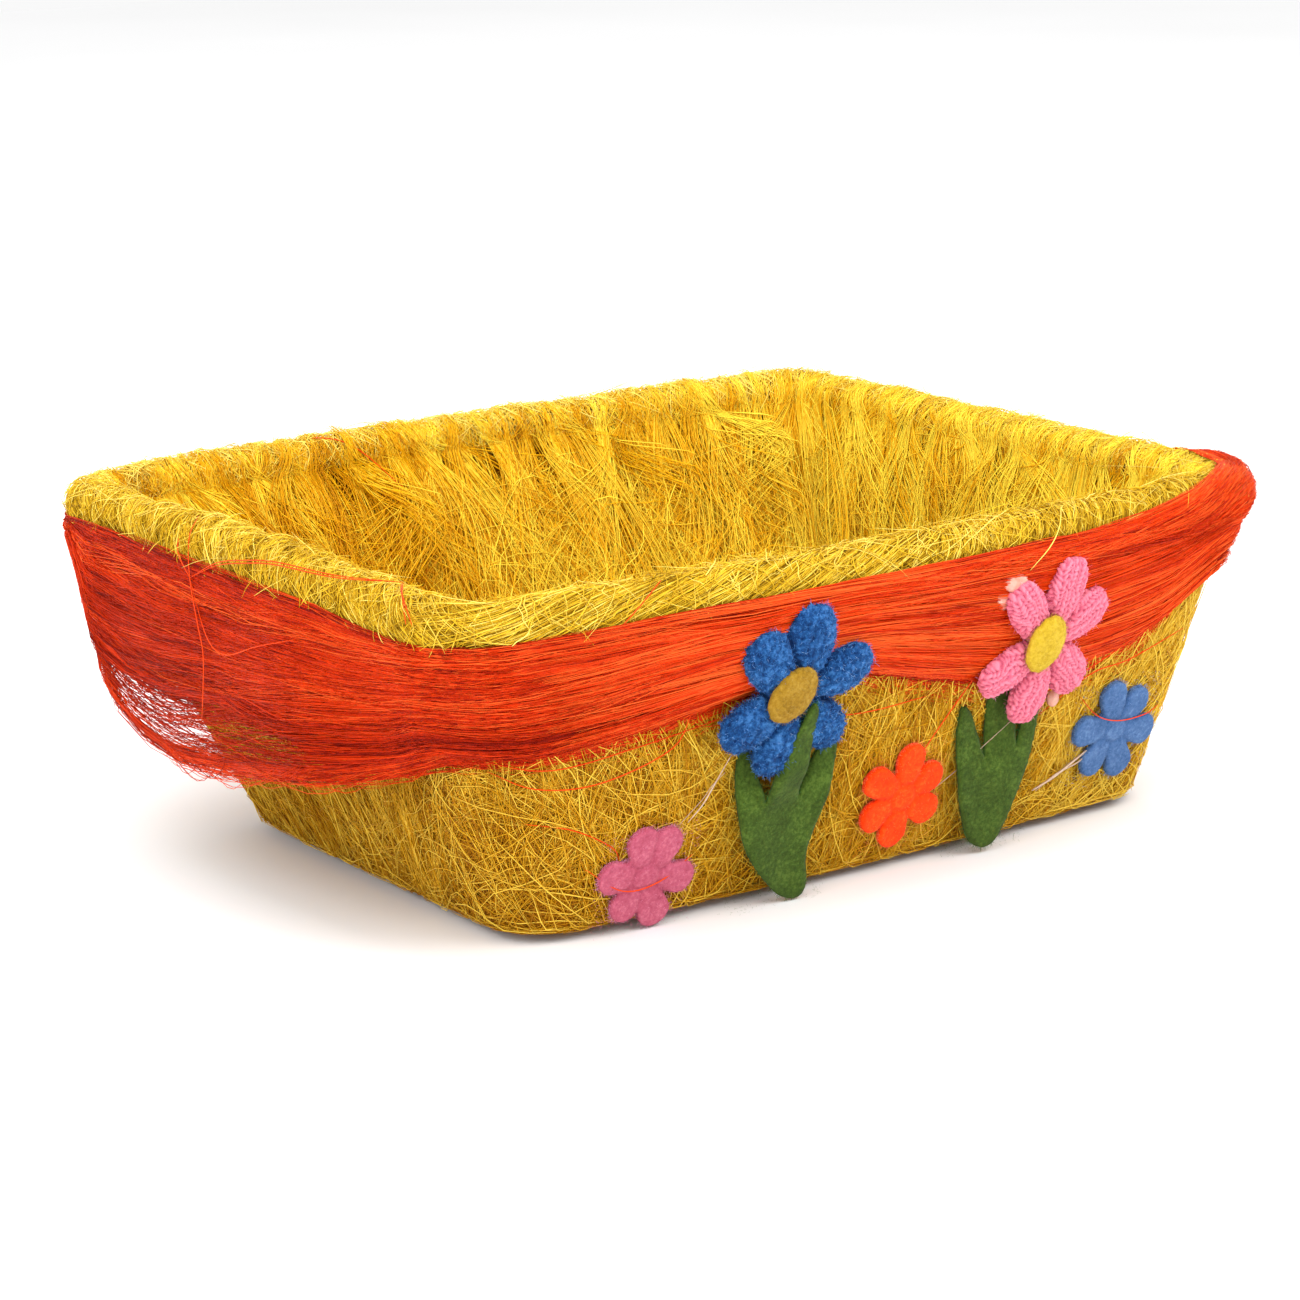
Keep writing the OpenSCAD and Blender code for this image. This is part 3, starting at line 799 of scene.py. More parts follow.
# Each stretch: end along the rim, advance in one turn, lock width, depth, share
# of strands that stray from the lay
LAY = np.array([
    (u_front(-60), 150, 9, 0.5, 0.30),
    (u_front(10), 95, 8, 0.6, 0.35),
    (FRONT_END + HALF_CORNER, 14, 4.8, 1.0, 0.22),
    (RIGHT_END + HALF_CORNER, 18, 8, 1.0, 0.35),
    (BACK_END + HALF_CORNER, 34, 13, 1.2, 0.50),
    (LEFT_END + HALF_CORNER, -46, 17, 1.9, 0.24),
    (AROUND * 2, 150, 9, 0.5, 0.30),
])
ADVANCE, WIDTH, DEPTH, STRAY = 1, 2, 3, 4


def lay_at(u, column):
    """One number of the winding's lay at places along the rim."""
    return LAY[np.searchsorted(LAY[:-1, 0], np.mod(u, AROUND)), column]


def ridge(u, phi):
    """Rounded locks of the winding: 0 in the grooves, 1 on the crowns."""
    turns = (u - lay_at(u, ADVANCE) * phi / 360) / lay_at(u, WIDTH)
    turns = turns + 0.45 * np.sin(u * 0.083) + 0.3 * np.sin(u * 0.19)
    return np.abs(np.sin(math.pi * turns)) ** 0.6


def rim_core(side, seed):
    """Packed roving of one side's winding, a lumpy tube round the wire."""
    rng = np.random.default_rng(seed)
    lump = ripple(rng, 14)
    start, end = SIDES[side]
    us = np.linspace(start, end, int((end - start) / 1.2) + 1)
    u, phi = np.meshgrid(us, np.linspace(0, 360, 48, endpoint=False), indexing="ij")
    soft = 0.35 * lump(u, 20 * np.cos(np.radians(phi)))
    r = ROLL_R - 1.0 + (ridge(u, phi) - 0.7) * lay_at(u, DEPTH) + soft * 0.6
    points = np.concatenate([roll(u, phi, r).reshape(-1, 3), roll(us[[0, -1]], 0, 0)])
    ids = grid_ids(*u.shape)
    cap = np.full(u.shape[1], u.size)
    caps = [
        np.stack([ids[0, :-1], ids[0, 1:], cap], axis=-1),
        np.stack([ids[-1, 1:], ids[-1, :-1], cap + 1], axis=-1),
    ]
    name = "rim_roving_" + side
    me = raw_mesh(name, points, [quads(ids), np.concatenate(caps)])
    turns = phi / 360
    along = u - lay_at(u, ADVANCE) * turns
    add_lay(me, np.stack([np.append(turns * 46, [0, 0]), np.append(along, [0, 0])], axis=-1))
    solid(name, me, RIM_MAT, ["rim_winding_" + side])


def rim_strands(side, count, seed, middle):
    """Fibres of the winding, most of them along its locks, some across."""
    rng = np.random.default_rng(seed)

    def draw(low, high):
        return rng.uniform(low, high, (count, 1))

    def vary(mean, spread):
        return rng.normal(mean, spread, (count, 1))

    u0 = draw(*SIDES[side])
    phi0 = draw(-70, 250)
    advance = lay_at(u0, ADVANCE)
    stray = draw(0, 1) < lay_at(u0, STRAY)
    turn = np.where(stray, draw(30, 110), draw(70, 190))
    pitch = advance * vary(1, 0.12)
    pitch = np.where(stray, advance * draw(-0.4, 0.8) + vary(0, 45), pitch)
    turn = np.where(np.abs(advance) > 80, turn * 0.55, turn)
    s = np.linspace(-0.5, 0.5, 9)
    phi = phi0 + turn * s
    u = u0 + pitch * turn / 360 * s
    u = u + vary(0, 0.6) * np.sin(TAU * s + draw(0, TAU))
    lift = draw(-0.2, 0.55) + np.where(stray, draw(0.1, 1.1), 0)
    r = ROLL_R - 0.9 + (ridge(u, phi) - 0.7) * lay_at(u, DEPTH) + lift
    r = r + np.abs(s * 2) ** 4 * np.where(stray, draw(0, 1.4), draw(-0.2, 0.3))
    groove_shade = 1 - ridge(u, phi).mean(axis=1)
    # painted shade: strands that lie in the grooves between the winding's locks, strays apart,
    # are painted darker
    shade = tints(rng, count, middle, 0.2) - 0.36 * groove_shade * (~stray[:, 0])
    groups = [(roll(u, phi, r), rng.uniform(0.12, 0.21, count), shade)]
    fibres("rim_strands_" + side, groups, ROVING)


# ---- Sash ------------------------------------------------------------------

# Height of the band's lower edge: along X on the front, along Y on the left
FRONT_HEM = np.array([
    (-140, 59), (-105, 60), (-87, 62), (-62, 66), (-42, 68), (-11, 67), (8, 62),
    (41, 54), (72, 53), (104, 57), (119, 64), (134, 72),
], float)
SWAG_HEM = np.array([
    (108, 84), (98, 75), (88, 61), (77, 48), (66, 41.5), (51, 37.5), (30, 36),
    (1, 39.5), (-29, 45), (-56, 50), (-81, 54.5), (-106, 59),
])
RIGHT_HEM = 72
BACK_HEM = 74
HEM_U = np.concatenate([
    u_front(FRONT_HEM[:, 0]),
    [RIGHT_START + 8, RIGHT_END - 8, BACK_START + 8, BACK_END - 12, BACK_END + 8],
    u_left(SWAG_HEM[:, 0]),
])
HEM_Z = np.concatenate([
    FRONT_HEM[:, 1], [RIGHT_HEM, RIGHT_HEM, BACK_HEM, BACK_HEM, 80], SWAG_HEM[:, 1]
])
PLUMB_R = 6.2
BAND_W = 4.2
TOUCH = -57.0
# Highest angle on the roll that the band reaches, by place along the rim
TOP_U = np.array([
    0, u_front(-60), u_front(20), u_front(70), u_front(95), u_front(113), FRONT_END,
    FRONT_END + 14, RIGHT_START, RIGHT_START + 14, RIGHT_START + 34, RIGHT_END,
    BACK_START, BACK_END, LEFT_START, LEFT_END - 60, LEFT_END,
])
TOP_PHI = [-24, -16, -12, -6, 8, 34, 66, 92, 94, 60, 8, -14, -20, -20, -16, -22, -30]


def hang(u):
    """How far the band has left the wall: 0 glued on, 1 hanging plumb."""
    return smooth((u - LEFT_START + 24) / 40) * smooth((LEFT_END + 14 - u) / 62)


def band(u, t, h):
    """Points of the sash: t is 0 at the hem and 1 at the top, h outwards."""
    u, t, h = same_shape(u, t, h)
    round_u = np.mod(u, AROUND)
    away = hang(round_u)
    touch = TOUCH + (42.0 * away)
    r = ROLL_R + 0.35
    top = np.interp(round_u, TOP_U, TOP_PHI, period=AROUND)
    foot = wall(u, np.interp(round_u, HEM_U, HEM_Z, period=AROUND), BAND_W)
    foot = foot + (roll(u, 0, PLUMB_R) - foot) * away[..., None] * np.array([1, 1, 0])
    joint = roll(u, touch, r)
    drop = np.linalg.norm(joint - foot, axis=-1)
    way = t * (drop + r * np.radians(np.maximum(top - touch, 4)))
    share = np.clip(way / drop, -0.4, 1)[..., None]
    out = np.concatenate([look(RIM_OUT, u), np.zeros(u.shape + (1,))], axis=-1)
    h = h * (0.3 + 0.7 * smooth(t / 0.14) * smooth((1 - t) / 0.14))
    belly = np.maximum(4 * share * (1 - share), 0) * (1.2 + 1.5 * away[..., None])
    flat = foot + (joint - foot) * share + out * (h[..., None] + belly)
    bent = roll(u, touch + np.degrees((way - drop) / r), r + h)
    return np.where((way > drop)[..., None], bent, flat)


def combed(rng, n, us, ts, hs, lengths, locks, wave=0.02, k=12):
    """Nearly parallel strands in locks along the band, and their shades: each lock's own random
    tone, with painted shade on the strands at a lock's edge.
    """
    lock = rng.integers(0, locks, n)
    middle = rng.uniform(*us, locks)[lock] + rng.normal(0, 16, n)
    inside = rng.normal(0, 1, n)
    level = rng.uniform(*ts, locks)[lock] + 0.02 * inside
    tilt = rng.normal(0, 0.0009, locks)[lock] + rng.normal(0, 0.00012, n)
    swing = rng.normal(0, wave, locks)[lock] + rng.normal(0, wave * 0.12, n)
    phase = rng.uniform(0, TAU, locks)[lock] + rng.normal(0, 0.1, n)
    length = rng.uniform(*lengths, n)
    crown = 0.55 * np.exp(-inside ** 2)
    lift = rng.uniform(*hs, locks)[lock] + crown + rng.uniform(0, 0.35, n)
    # each lock's random tone, and painted shade in the gaps between locks: strands at a lock's
    # edge are painted darker
    shade = rng.normal(0, 0.13, locks)[lock] - 0.12 * (np.abs(inside) > 1.3)
    phase = phase[:, None]
    du = length[:, None] * np.linspace(-0.5, 0.5, k)
    t = level[:, None] + tilt[:, None] * du + swing[:, None] * np.sin(phase + du * TAU / 110)
    h = lift[:, None] + 0.12 * np.sin(phase * 2 + du * TAU / 60)
    return middle[:, None] + du, t, h, shade


def shift_into(u, low, high):
    """Strands moved along the band to lie between two places."""
    shift = np.maximum(low - u.min(axis=1), 0) + np.minimum(high - u.max(axis=1), 0)
    return u + shift[:, None]


def keep_on(rng, lay, start, end, ragged=6.0):
    """Moves strands so that they stop, raggedly, at the band's ends and edges."""
    u, t, h, shade = lay
    n = len(u)
    low = start + np.abs(rng.normal(0, ragged, n))
    high = end - np.abs(rng.normal(0, ragged, n))
    foot = rng.uniform(-0.05, 0.06, (n, 1))
    crown = rng.uniform(-0.03, 0.04, (n, 1))
    return shift_into(u, low, high), np.clip(t, foot, 1 - crown), h, shade


def hem_wisps(rng, n, start, end, drop=(-0.3, 0.02)):
    """Single strands that droop below the band's lower edge."""
    s = np.linspace(-0.5, 0.5, 12)
    u = rng.uniform(start, end, n)[:, None] + rng.uniform(30, 90, n)[:, None] * s
    dip = rng.uniform(*drop, n) * rng.uniform(0.3, 1.0, n)
    t = 0.05 + (dip - 0.05)[:, None] * (1 - (2 * s) ** 2)
    t = t + 0.03 * np.sin(rng.uniform(0, TAU, n)[:, None] + 9 * s)
    h = rng.uniform(1.0, 2.6, n)[:, None] + 0 * s
    return shift_into(u, start, end), t, h, rng.normal(0, 0.1, n)


def sash_sheet(side, us, low, thick, node, seed):
    """Packed layer of the sash under its loose strands, from low on the band."""
    rng = np.random.default_rng(seed)
    lump = ripple(rng, 16)
    u, t = np.meshgrid(us, np.linspace(0, 1, 30), indexing="ij")
    t = low + (0.985 - low) * t
    outer = band(u, t, thick + 0.25 * lump(u * 0.25, t * 90))
    name = "sash_" + side + "_layer"
    me = shell_mesh(name, outer, band(u, t, 0), np.stack([u, t * 45], axis=-1))
    solid(name, me, SASH_MAT, [node])


def strands_of(rng, lay, radius, middle):
    """A strand_mesh group of band places, shaded lock by lock."""
    u, t, h, shade = lay
    n = len(u)
    return band(u, t, h), rng.uniform(*radius, n), tints(rng, n, middle, 0.17) + shade


def sash_front():
    """Band on the front wall: its light fibres start raggedly near the left end, with painted
    highlights on their starts and towards the right corner.
    """
    rng = np.random.default_rng(61)
    start, end = SIDES["front"]
    sash_sheet("front", np.linspace(start, end, 150), 0.05, 1.3, "sash_front", 60)
    cut = u_front(-124)
    far = end + 8
    deep = combed(rng, 1500, (cut + 50, far - 30), (0.04, 1.0), (1.5, 2.2), (110, 230), 70, k=11)
    deep = keep_on(rng, deep, cut + 6, far, 14)
    over = combed(
        rng, 2000, (cut + 10, far - 20), (0.02, 1.0), (2.0, 3.3), (70, 190), 120, 0.028, 11
    )
    u, t, h, shade = keep_on(rng, over, cut, far, 16)
    # painted highlight: the ragged starts near the left end and the strands towards the right
    # corner, where the light falls, are painted lighter
    begins = 1 - smooth((u.min(axis=1) - cut - 12) / 40)
    corner = smooth((u.mean(axis=1) - FRONT_END + 70) / 50)
    over = u, t, h + 0.6 * begins[:, None], shade + 0.14 * begins + 0.24 * corner
    wisps = hem_wisps(rng, 260, cut + 4, far - 16)
    groups = [
        strands_of(rng, deep, (0.11, 0.17), 0.42),
        strands_of(rng, over, (0.11, 0.18), 0.6),
        strands_of(rng, wisps, (0.08, 0.13), 0.55),
    ]
    fibres("sash_front_strands", groups, COMBED)


def over_front(lay):
    """Lifts the strands that go on over the front's packed layer."""
    u, t, h, shade = lay
    return u, t, h + 1.1 * smooth((u - LEFT_END + 8) / 26), shade


def bright_corner(lay):
    """Strands that end on the front catch more light."""
    u, t, h, shade = lay
    return u, t, h, shade + 0.22 * smooth((u.mean(axis=1) - LEFT_END + 50) / 60)


def sash_left():
    """Loose bundle round the left end, from the front to the far corner."""
    rng = np.random.default_rng(71)
    u0, u1 = SIDES["left"]
    us = np.linspace(u0, u1, 130)
    dense_from = 0.12 + 0.5 * smooth((LEFT_END - 34 - us) / 60)
    sash_sheet("left", us, dense_from[:, None], 0.9, "sash_left_swag", 70)
    start = u0 - 34
    end = AROUND + u_front(-60)
    near = end - 8
    deep = combed(
        rng, 2100, (start + 30, near - 30), (0.38, 1.0), (0.8, 1.9), (110, 240), 110, 0.026
    )
    ends = combed(rng, 900, (LEFT_END - 30, near), (0.3, 1.0), (1.0, 2.2), (60, 120), 70, 0.03)
    low = combed(rng, 620, (LEFT_END - 40, near - 20), (0.02, 0.6), (0.7, 1.7), (60, 120), 46)
    deep = bright_corner(over_front(keep_on(rng, deep, start, end, 10)))
    # painted shade: the bundle's main strands get low middle shades, so the left end is painted
    # darker than the rest of the band
    groups = [strands_of(rng, deep, (0.1, 0.17), 0.36)]
    ends = bright_corner(over_front(keep_on(rng, ends, start, end, 18)))
    groups.append(strands_of(rng, ends, (0.1, 0.16), 0.38))
    low = over_front(keep_on(rng, low, LEFT_END - 70, end, 16))
    groups.append(strands_of(rng, low, (0.1, 0.17), 0.34))
    fibres("sash_left_strands", groups, COMBED)
    thin = combed(
        rng, 330, (u0 + 20, LEFT_END - 20), (0.03, 0.6), (-0.6, 1.4), (110, 220), 260, 0.06
    )
    edge = combed(
        rng, 210, (u0 + 30, end - 60), (-0.01, 0.05), (0.0, 1.2), (120, 240), 50, 0.014
    )
    wisps = over_front(hem_wisps(rng, 110, u0 + 60, end, (-0.1, 0.02)))
    thin = keep_on(rng, thin, start, end, 10)
    groups = [strands_of(rng, thin, (0.08, 0.13), 0.42)]
    edge = over_front(keep_on(rng, edge, start, end, 10))
    groups.append(strands_of(rng, edge, (0.09, 0.15), 0.42))
    groups.append(strands_of(rng, wisps, (0.08, 0.12), 0.5))
    fibres("sash_left_wisps", groups, COMBED)


def sash_side(side, count, seed):
    """Band on the right end or the back."""
    rng = np.random.default_rng(seed)
    start, end = SIDES[side]
    sash_sheet(side, np.linspace(start, end, 110), 0.06, 1.3, "sash_" + side, seed + 1)
    lay = combed(rng, count, (start, end), (0.02, 1.0), (1.4, 2.8), (80, 200), count // 16, 0.028)
    lay = keep_on(rng, lay, start - 18, end + 18)
    groups = [strands_of(rng, lay, (0.11, 0.18), 0.52)]
    fibres("sash_" + side + "_strands", groups, COMBED)


def sash_corner():
    """Turn of the band over the roll at the right front corner."""
    rng = np.random.default_rng(91)
    us = (FRONT_END - 20, RIGHT_START + 14)
    lay = combed(rng, 1300, us, (0.35, 1.0), (1.4, 2.4), (60, 110), 60)
    lay = keep_on(rng, lay, FRONT_END - 90, RIGHT_START + 70, 14)
    # painted light: the corner's strands get a high middle shade, painted lighter where the light
    # falls on the turn
    groups = [strands_of(rng, lay, (0.11, 0.18), 0.9)]
    fibres("sash_corner_strands", groups, COMBED, ["sash_corner_wrap"])


# ---- Flowers ---------------------------------------------------------------

class Spot:
    """A place on the front wall with its own axes: along, up the wall, outwards."""

    def __init__(self, x, z, w, upright=0.0):
        us = np.linspace(*SIDES["front"], 400)
        u = float(np.interp(x, wall(us, z, w)[:, 0], us))
        self.at = wall(u, z, w)
        along = wall(u + 1, z, w) - wall(u - 1, z, w)
        up = wall(u, z + 1, w) - wall(u, z - 1, w)
        along = along / np.linalg.norm(along)
        up = up - along * float(up @ along)
        up = up / np.linalg.norm(up)
        out = np.cross(along, up)
        a = math.radians(upright)
        self.along = along
        self.up = up * math.cos(a) - out * math.sin(a)
        self.out = out * math.cos(a) + up * math.sin(a)

    def put(self, local):
        """Points given as (along, up, out) in the basket's frame."""
        return self.at + np.asarray(local, float) @ np.array([self.along, self.up, self.out])


FLOWER_W = 7.65
FELT_W = 5.5
BLUE_AT = (-34.4, 67.4)
PINK_AT = (56.7, 67.6)

# Each petal: direction, length, width
BLUE_PETALS = [
    (88, 28, 17.5), (22, 25, 15), (-46, 23.5, 14.5), (-105, 25, 16), (-156, 26, 16),
    (132, 27, 17),
]
PINK_PETALS = [
    (80, 26.5, 13.5), (30, 22.8, 14), (-47, 23.5, 14.5), (-99, 26, 14), (-153, 25, 13),
    (131, 26, 13.5),
]


def turned(points, degrees):
    """Points turned about the axis that points out of the wall."""
    turn = math.radians(degrees)
    x, y, z = points.T
    return np.column_stack([
        x * math.cos(turn) - y * math.sin(turn), x * math.sin(turn) + y * math.cos(turn), z
    ])


def ball_faces(rows, cols, flip=False):
    """Faces of rings of points that close in a pole point beyond each end."""
    ids = grid_ids(rows, cols)
    pole = np.full(cols, rows * cols)
    tips = [pole, ids[0, :-1], ids[0, 1:], pole + 1, ids[-1, 1:], ids[-1, :-1]]
    tips = np.stack(tips, axis=-1).reshape(-1, 3)
    return quads(ids, flip), tips[:, [0, 2, 1]] if flip else tips


def rough(points, scale, shift=0.0):
    """Smooth noise at each point."""
    return np.array([noise.noise(Vector(p * scale + shift)) for p in points])


def joined(parts):
    """Points and faces of several solids, as one list of points and one of each kind."""
    points, *kinds = zip(*parts)
    first = np.cumsum([0] + [len(p) for p in points[:-1]])
    faces = [np.concatenate([f + n for f, n in zip(kind, first)]) for kind in kinds]
    return np.concatenate(points), faces


def petal_solid(direction, length, width, thick, blunt):
    """Closed egg-shaped petal, as points and faces about the flower's middle."""
    around = 28
    rings = 14
    points = []
    for i in range(1, rings):
        a = math.pi * i / rings
        x = -math.cos(a)
        r = math.sin(a) ** blunt
        wide = width / 2 * (0.93 + 0.07 * x)
        for j in range(around):
            b = TAU * j / around
            flat = r * thick / 2 * math.sin(b)
            points.append([length * (0.56 + 0.44 * x), r * wide * math.cos(b), flat])
    points += [[length * 0.12, 0, 0], [length, 0, 0]]
    points = turned(np.array(points), direction)
    points[:, 2] += thick / 2
    return points, *ball_faces(rings - 1, around, True)


def flower_skin(name, petals, thick, blunt, voxel):
    """One closed skin round the petals and a low cushion that joins their middles."""
    parts = [petal_solid(*petal, thick, blunt) for petal in petals]
    heart = petal_solid(0, 20, 19, 5.4, 0.9)
    heart[0][:, 0] -= 11.2
    obj = link(name + "_parts", raw_mesh(name + "_parts", *joined(parts + [heart])))
    skin = obj.modifiers.new("skin", "REMESH")
    skin.mode = "VOXEL"
    skin.voxel_size = voxel * MM
    ease = obj.modifiers.new("ease", "SMOOTH")
    ease.iterations = 2
    graph = bpy.context.evaluated_depsgraph_get()
    made = bpy.data.meshes.new_from_object(obj.evaluated_get(graph))
    bpy.data.objects.remove(obj)
    made.name = name
    made.shade_smooth()
    return made


def points_of(me):
    """Points and normals of a mesh, the points in millimetres."""
    made = []
    for key in ("co", "normal"):
        values = np.zeros(len(me.vertices) * 3, np.float32)
        me.vertices.foreach_get(key, values)
        made.append(values.reshape(-1, 3).astype(float))
    return made[0] / MM, made[1]


def set_points(me, points):
    """Moves a mesh's points, given in millimetres."""
    me.vertices.foreach_set("co", (points * MM).astype(np.float32).ravel())
    me.update()


def fuzz(rng, me, n, length, radius, middle, stand=0.45):
    """Short curved hairs on a mesh, as a strand_mesh group."""
    points, normals = points_of(me)
    pick = rng.integers(0, len(points), n)
    base = points[pick]
    out = normals[pick]
    way = out * stand + rng.normal(0, 1, (n, 3)) * 0.6
    way /= np.linalg.norm(way, axis=1, keepdims=True)
    turn = rng.normal(0, 0.6, (n, 3))
    size = rng.uniform(*length, n)[:, None]
    knee = base + way * size * 0.5
    tip = knee + (way + turn * 0.7) * size * 0.5
    paths = np.stack([base - out * 0.15, knee, tip], axis=1)
    return paths, radius, tints(rng, n, middle)


def between(directions):
    """Directions halfway between neighbouring petals, in radians."""
    ways = sorted(math.radians(d) % TAU for d in directions)
    return [(a + b) / 2 for a, b in zip(ways, ways[1:] + [ways[0] + TAU])]


def creases(local, petals, wide=0.9):
    """1 along the valleys between neighbouring petals, 0 away from them."""
    turn = np.arctan2(local[:, 1], local[:, 0])
    r = np.hypot(local[:, 0], local[:, 1])
    depth = np.zeros(len(local))
    for way in between(petal[0] for petal in petals):
        off = turn - way
        side = np.where(np.cos(off) > 0, np.abs(r * np.sin(off)), 9.0)
        depth = np.maximum(depth, np.exp(-(side / wide) ** 2))
    return depth * smooth((r - 4.0) / 3.0)


def blue_flower():
    """Felted wool flower, its petals soft lobes with a rough nap."""
    spot = Spot(*BLUE_AT, FLOWER_W)
    me = flower_skin("blue_flower_wool", BLUE_PETALS, 7.4, 0.8, 0.45)
    local, normal = points_of(me)
    bump = rough(local, 0.6) * 0.6 + rough(local, 1.5) * 0.5
    valley = creases(local, BLUE_PETALS)
    local = local + normal * bump[:, None]
    local[:, 2] -= 1.2 * valley * (local[:, 2] > 3)
    local[:, 2] = np.maximum(local[:, 2], 0.0)
    # painted shade: the valleys between petals and the low bumps are stored to be painted darker
    add_values(me, "crease", np.clip(valley * 0.7 - bump * 0.7, 0, 1))
    set_points(me, spot.put(local))
    obj = solid("blue_flower_wool", me, BLUE_WOOL, ["blue_flower"])
    rng = np.random.default_rng(101)
    nap = strand_material("blue_nap", "0 082858 0.4 1C549C 0.8 4E8CD4 1 9CC0EC", 0.6)
    matted = fuzz(rng, me, 10000, (0.7, 1.6), 0.055, 0.55, 0.08)
    loose = fuzz(rng, me, 1200, (0.4, 1.0), 0.045, 0.6)
    fibres("blue_flower_nap", [matted, loose], nap)
    return spot


WALE = 3.1
COURSE = 1.6


def pink_flower():
    """Knitted flower: petals covered in columns of V-shaped stitches."""
    spot = Spot(*PINK_AT, FLOWER_W)
    me = flower_skin("pink_flower_knit", PINK_PETALS, 6.6, 0.62, 0.36)
    local, normal = points_of(me)
    turn = np.arctan2(local[:, 1], local[:, 0])
    ways = np.radians([p[0] for p in PINK_PETALS])
    gap = np.abs((turn[:, None] - ways[None, :] + math.pi) % TAU - math.pi)
    way = ways[np.argmin(gap, axis=1)]
    pull = 1.8 * rough(local, 0.22)
    drag = 1.8 * rough(local, 0.22, np.array([9.0, 4.0, 2.0]))
    along = local[:, 0] * np.cos(way) + local[:, 1] * np.sin(way) + pull
    across = -local[:, 0] * np.sin(way) + local[:, 1] * np.cos(way) + drag
    column = across / WALE + 0.5 * np.round(way)
    leg = np.abs(column - np.floor(column) - 0.5) * 2
    row = along / COURSE + 0.9 * leg
    slip = row - np.floor(row) - 0.5
    jitter = 0.2 * np.sin(np.floor(row) * 12.9 + np.floor(column * 2) * 78.2)
    loop = np.clip(1 - 3.4 * slip ** 2 - 3.2 * (leg - 0.5) ** 2, 0, 1) ** 0.6 + jitter
    valley = creases(local, PINK_PETALS)
    local[:, 2] -= 1.3 * valley * (local[:, 2] > 3)
    grit = rough(local, 1.3)
    local = local + normal * (0.7 * loop - 0.3 + 0.3 * grit)[:, None]
    local[:, 2] = np.maximum(local[:, 2], 0.0)
    # painted light and shade: stitch crowns are stored lighter, and the gaps between stitches and
    # the valleys between petals darker
    add_values(me, "stitch", np.clip(loop + 0.3 * grit - 0.5 * valley, 0, 1))
    set_points(me, spot.put(local))
    obj = solid("pink_flower_knit", me, PINK_KNIT, ["pink_flower"])
    rng = np.random.default_rng(111)
    nap = strand_material("pink_nap", "0 E8609C 0.6 FF94C0 1 FFC8E0", 0.7)
    group = fuzz(rng, me, 2200, (0.6, 1.5), 0.035, 0.6)
    fibres("pink_flower_nap", [group], nap)
    return spot


def centre_oval(name, spot, middle, half, turn, material, node, nap_stops, seed):
    """Domed oval of felt in the middle of a big flower."""
    around = 44
    rings = 16
    high = 2.0
    rng = np.random.default_rng(seed)
    points = []
    for i in range(1, rings):
        a = math.pi * i / rings
        r = math.sin(a) ** 0.7
        for b in np.linspace(0, TAU, around, endpoint=False):
            across = half[1] * r * math.sin(b)
            points.append([half[0] * r * math.cos(b), across, high * math.cos(a)])
    local = np.array(points + [[0, 0, high], [0, 0, -high]])
    local = local * (1 + 0.07 * rough(local, 0.6, np.array([seed, 0, 0])))[:, None]
    points = spot.put(turned(local, turn) + np.array([*middle, 7.6]))
    me = raw_mesh(name, points, ball_faces(rings - 1, around))
    obj = solid(name, me, material, [node])
    nap = strand_material(name + "_nap", nap_stops, 0.7)
    fibres(name + "_nap", [fuzz(rng, me, 900, (0.5, 1.2), 0.035, 0.55)], nap)


# Outlines of the two leaves from the foot upwards, along and up the wall
BLUE_LEAF = [
    (-2.5, 0), (0.5, 1), (1.7, 5), (0, 12), (0.2, 17), (2.1, 24.5), (5, 33), (6.8, 41),
    (7.7, 49.5), (6.6, 53), (5, 51), (2.4, 48), (-0.2, 44), (-2.7, 39.5), (-4.2, 36),
    (-5.2, 33), (-7, 40.5), (-7.9, 48), (-7.6, 55), (-7.8, 60.5), (-9.3, 65.5), (-10.8, 67),
    (-13, 65), (-14.6, 60), (-16.1, 55), (-17.5, 50), (-18.3, 44), (-17.9, 37.5),
    (-17.9, 33.8), (-19, 37), (-20.4, 41.5), (-21.6, 46), (-24, 51.5), (-26, 52.5),
    (-26.8, 48), (-27.2, 41.5), (-26.8, 35.5), (-25.3, 29), (-23.4, 22.5), (-20.6, 17),
    (-16, 11), (-11, 5.5), (-7.3, 2),
]
PINK_LEAF = [
    (-6.7, 1.5), (-3.2, 2.6), (-0.5, 7.5), (1.8, 14), (4, 21), (6.5, 29), (8.3, 35),
    (9.4, 41), (9.5, 47), (9, 52), (7, 52), (4.2, 45), (2.6, 40), (1.6, 36.5), (0.8, 33),
    (0.2, 37), (0, 41), (0, 46), (-1.5, 53), (-8, 56), (-12, 54), (-11.6, 46), (-11.2, 40),
    (-10.9, 34.5), (-10.7, 30.5), (-12.4, 35.5), (-14.8, 41), (-17.3, 46), (-20, 49),
    (-22, 49), (-22, 45), (-22, 38), (-21.4, 30.5), (-20, 23), (-17.4, 15), (-15, 9),
    (-12.7, 4.7), (-9.6, 2.5),
]


def rounded(corners):
    """Closed outline with its corners cut smooth, twice over."""
    pts = np.array(corners, float)
    for _ in range(2):
        after = np.roll(pts, -1, axis=0)
        pts = np.stack([pts * 0.78 + after * 0.22, pts * 0.22 + after * 0.78], axis=1)
        pts = pts.reshape(-1, 2)
    return pts


def edge_distance(points, edge):
    """Distance from each flat point to the nearest point of an outline."""
    gap = points[:, None] - edge[None]
    return np.hypot(gap[..., 0], gap[..., 1]).min(axis=1)


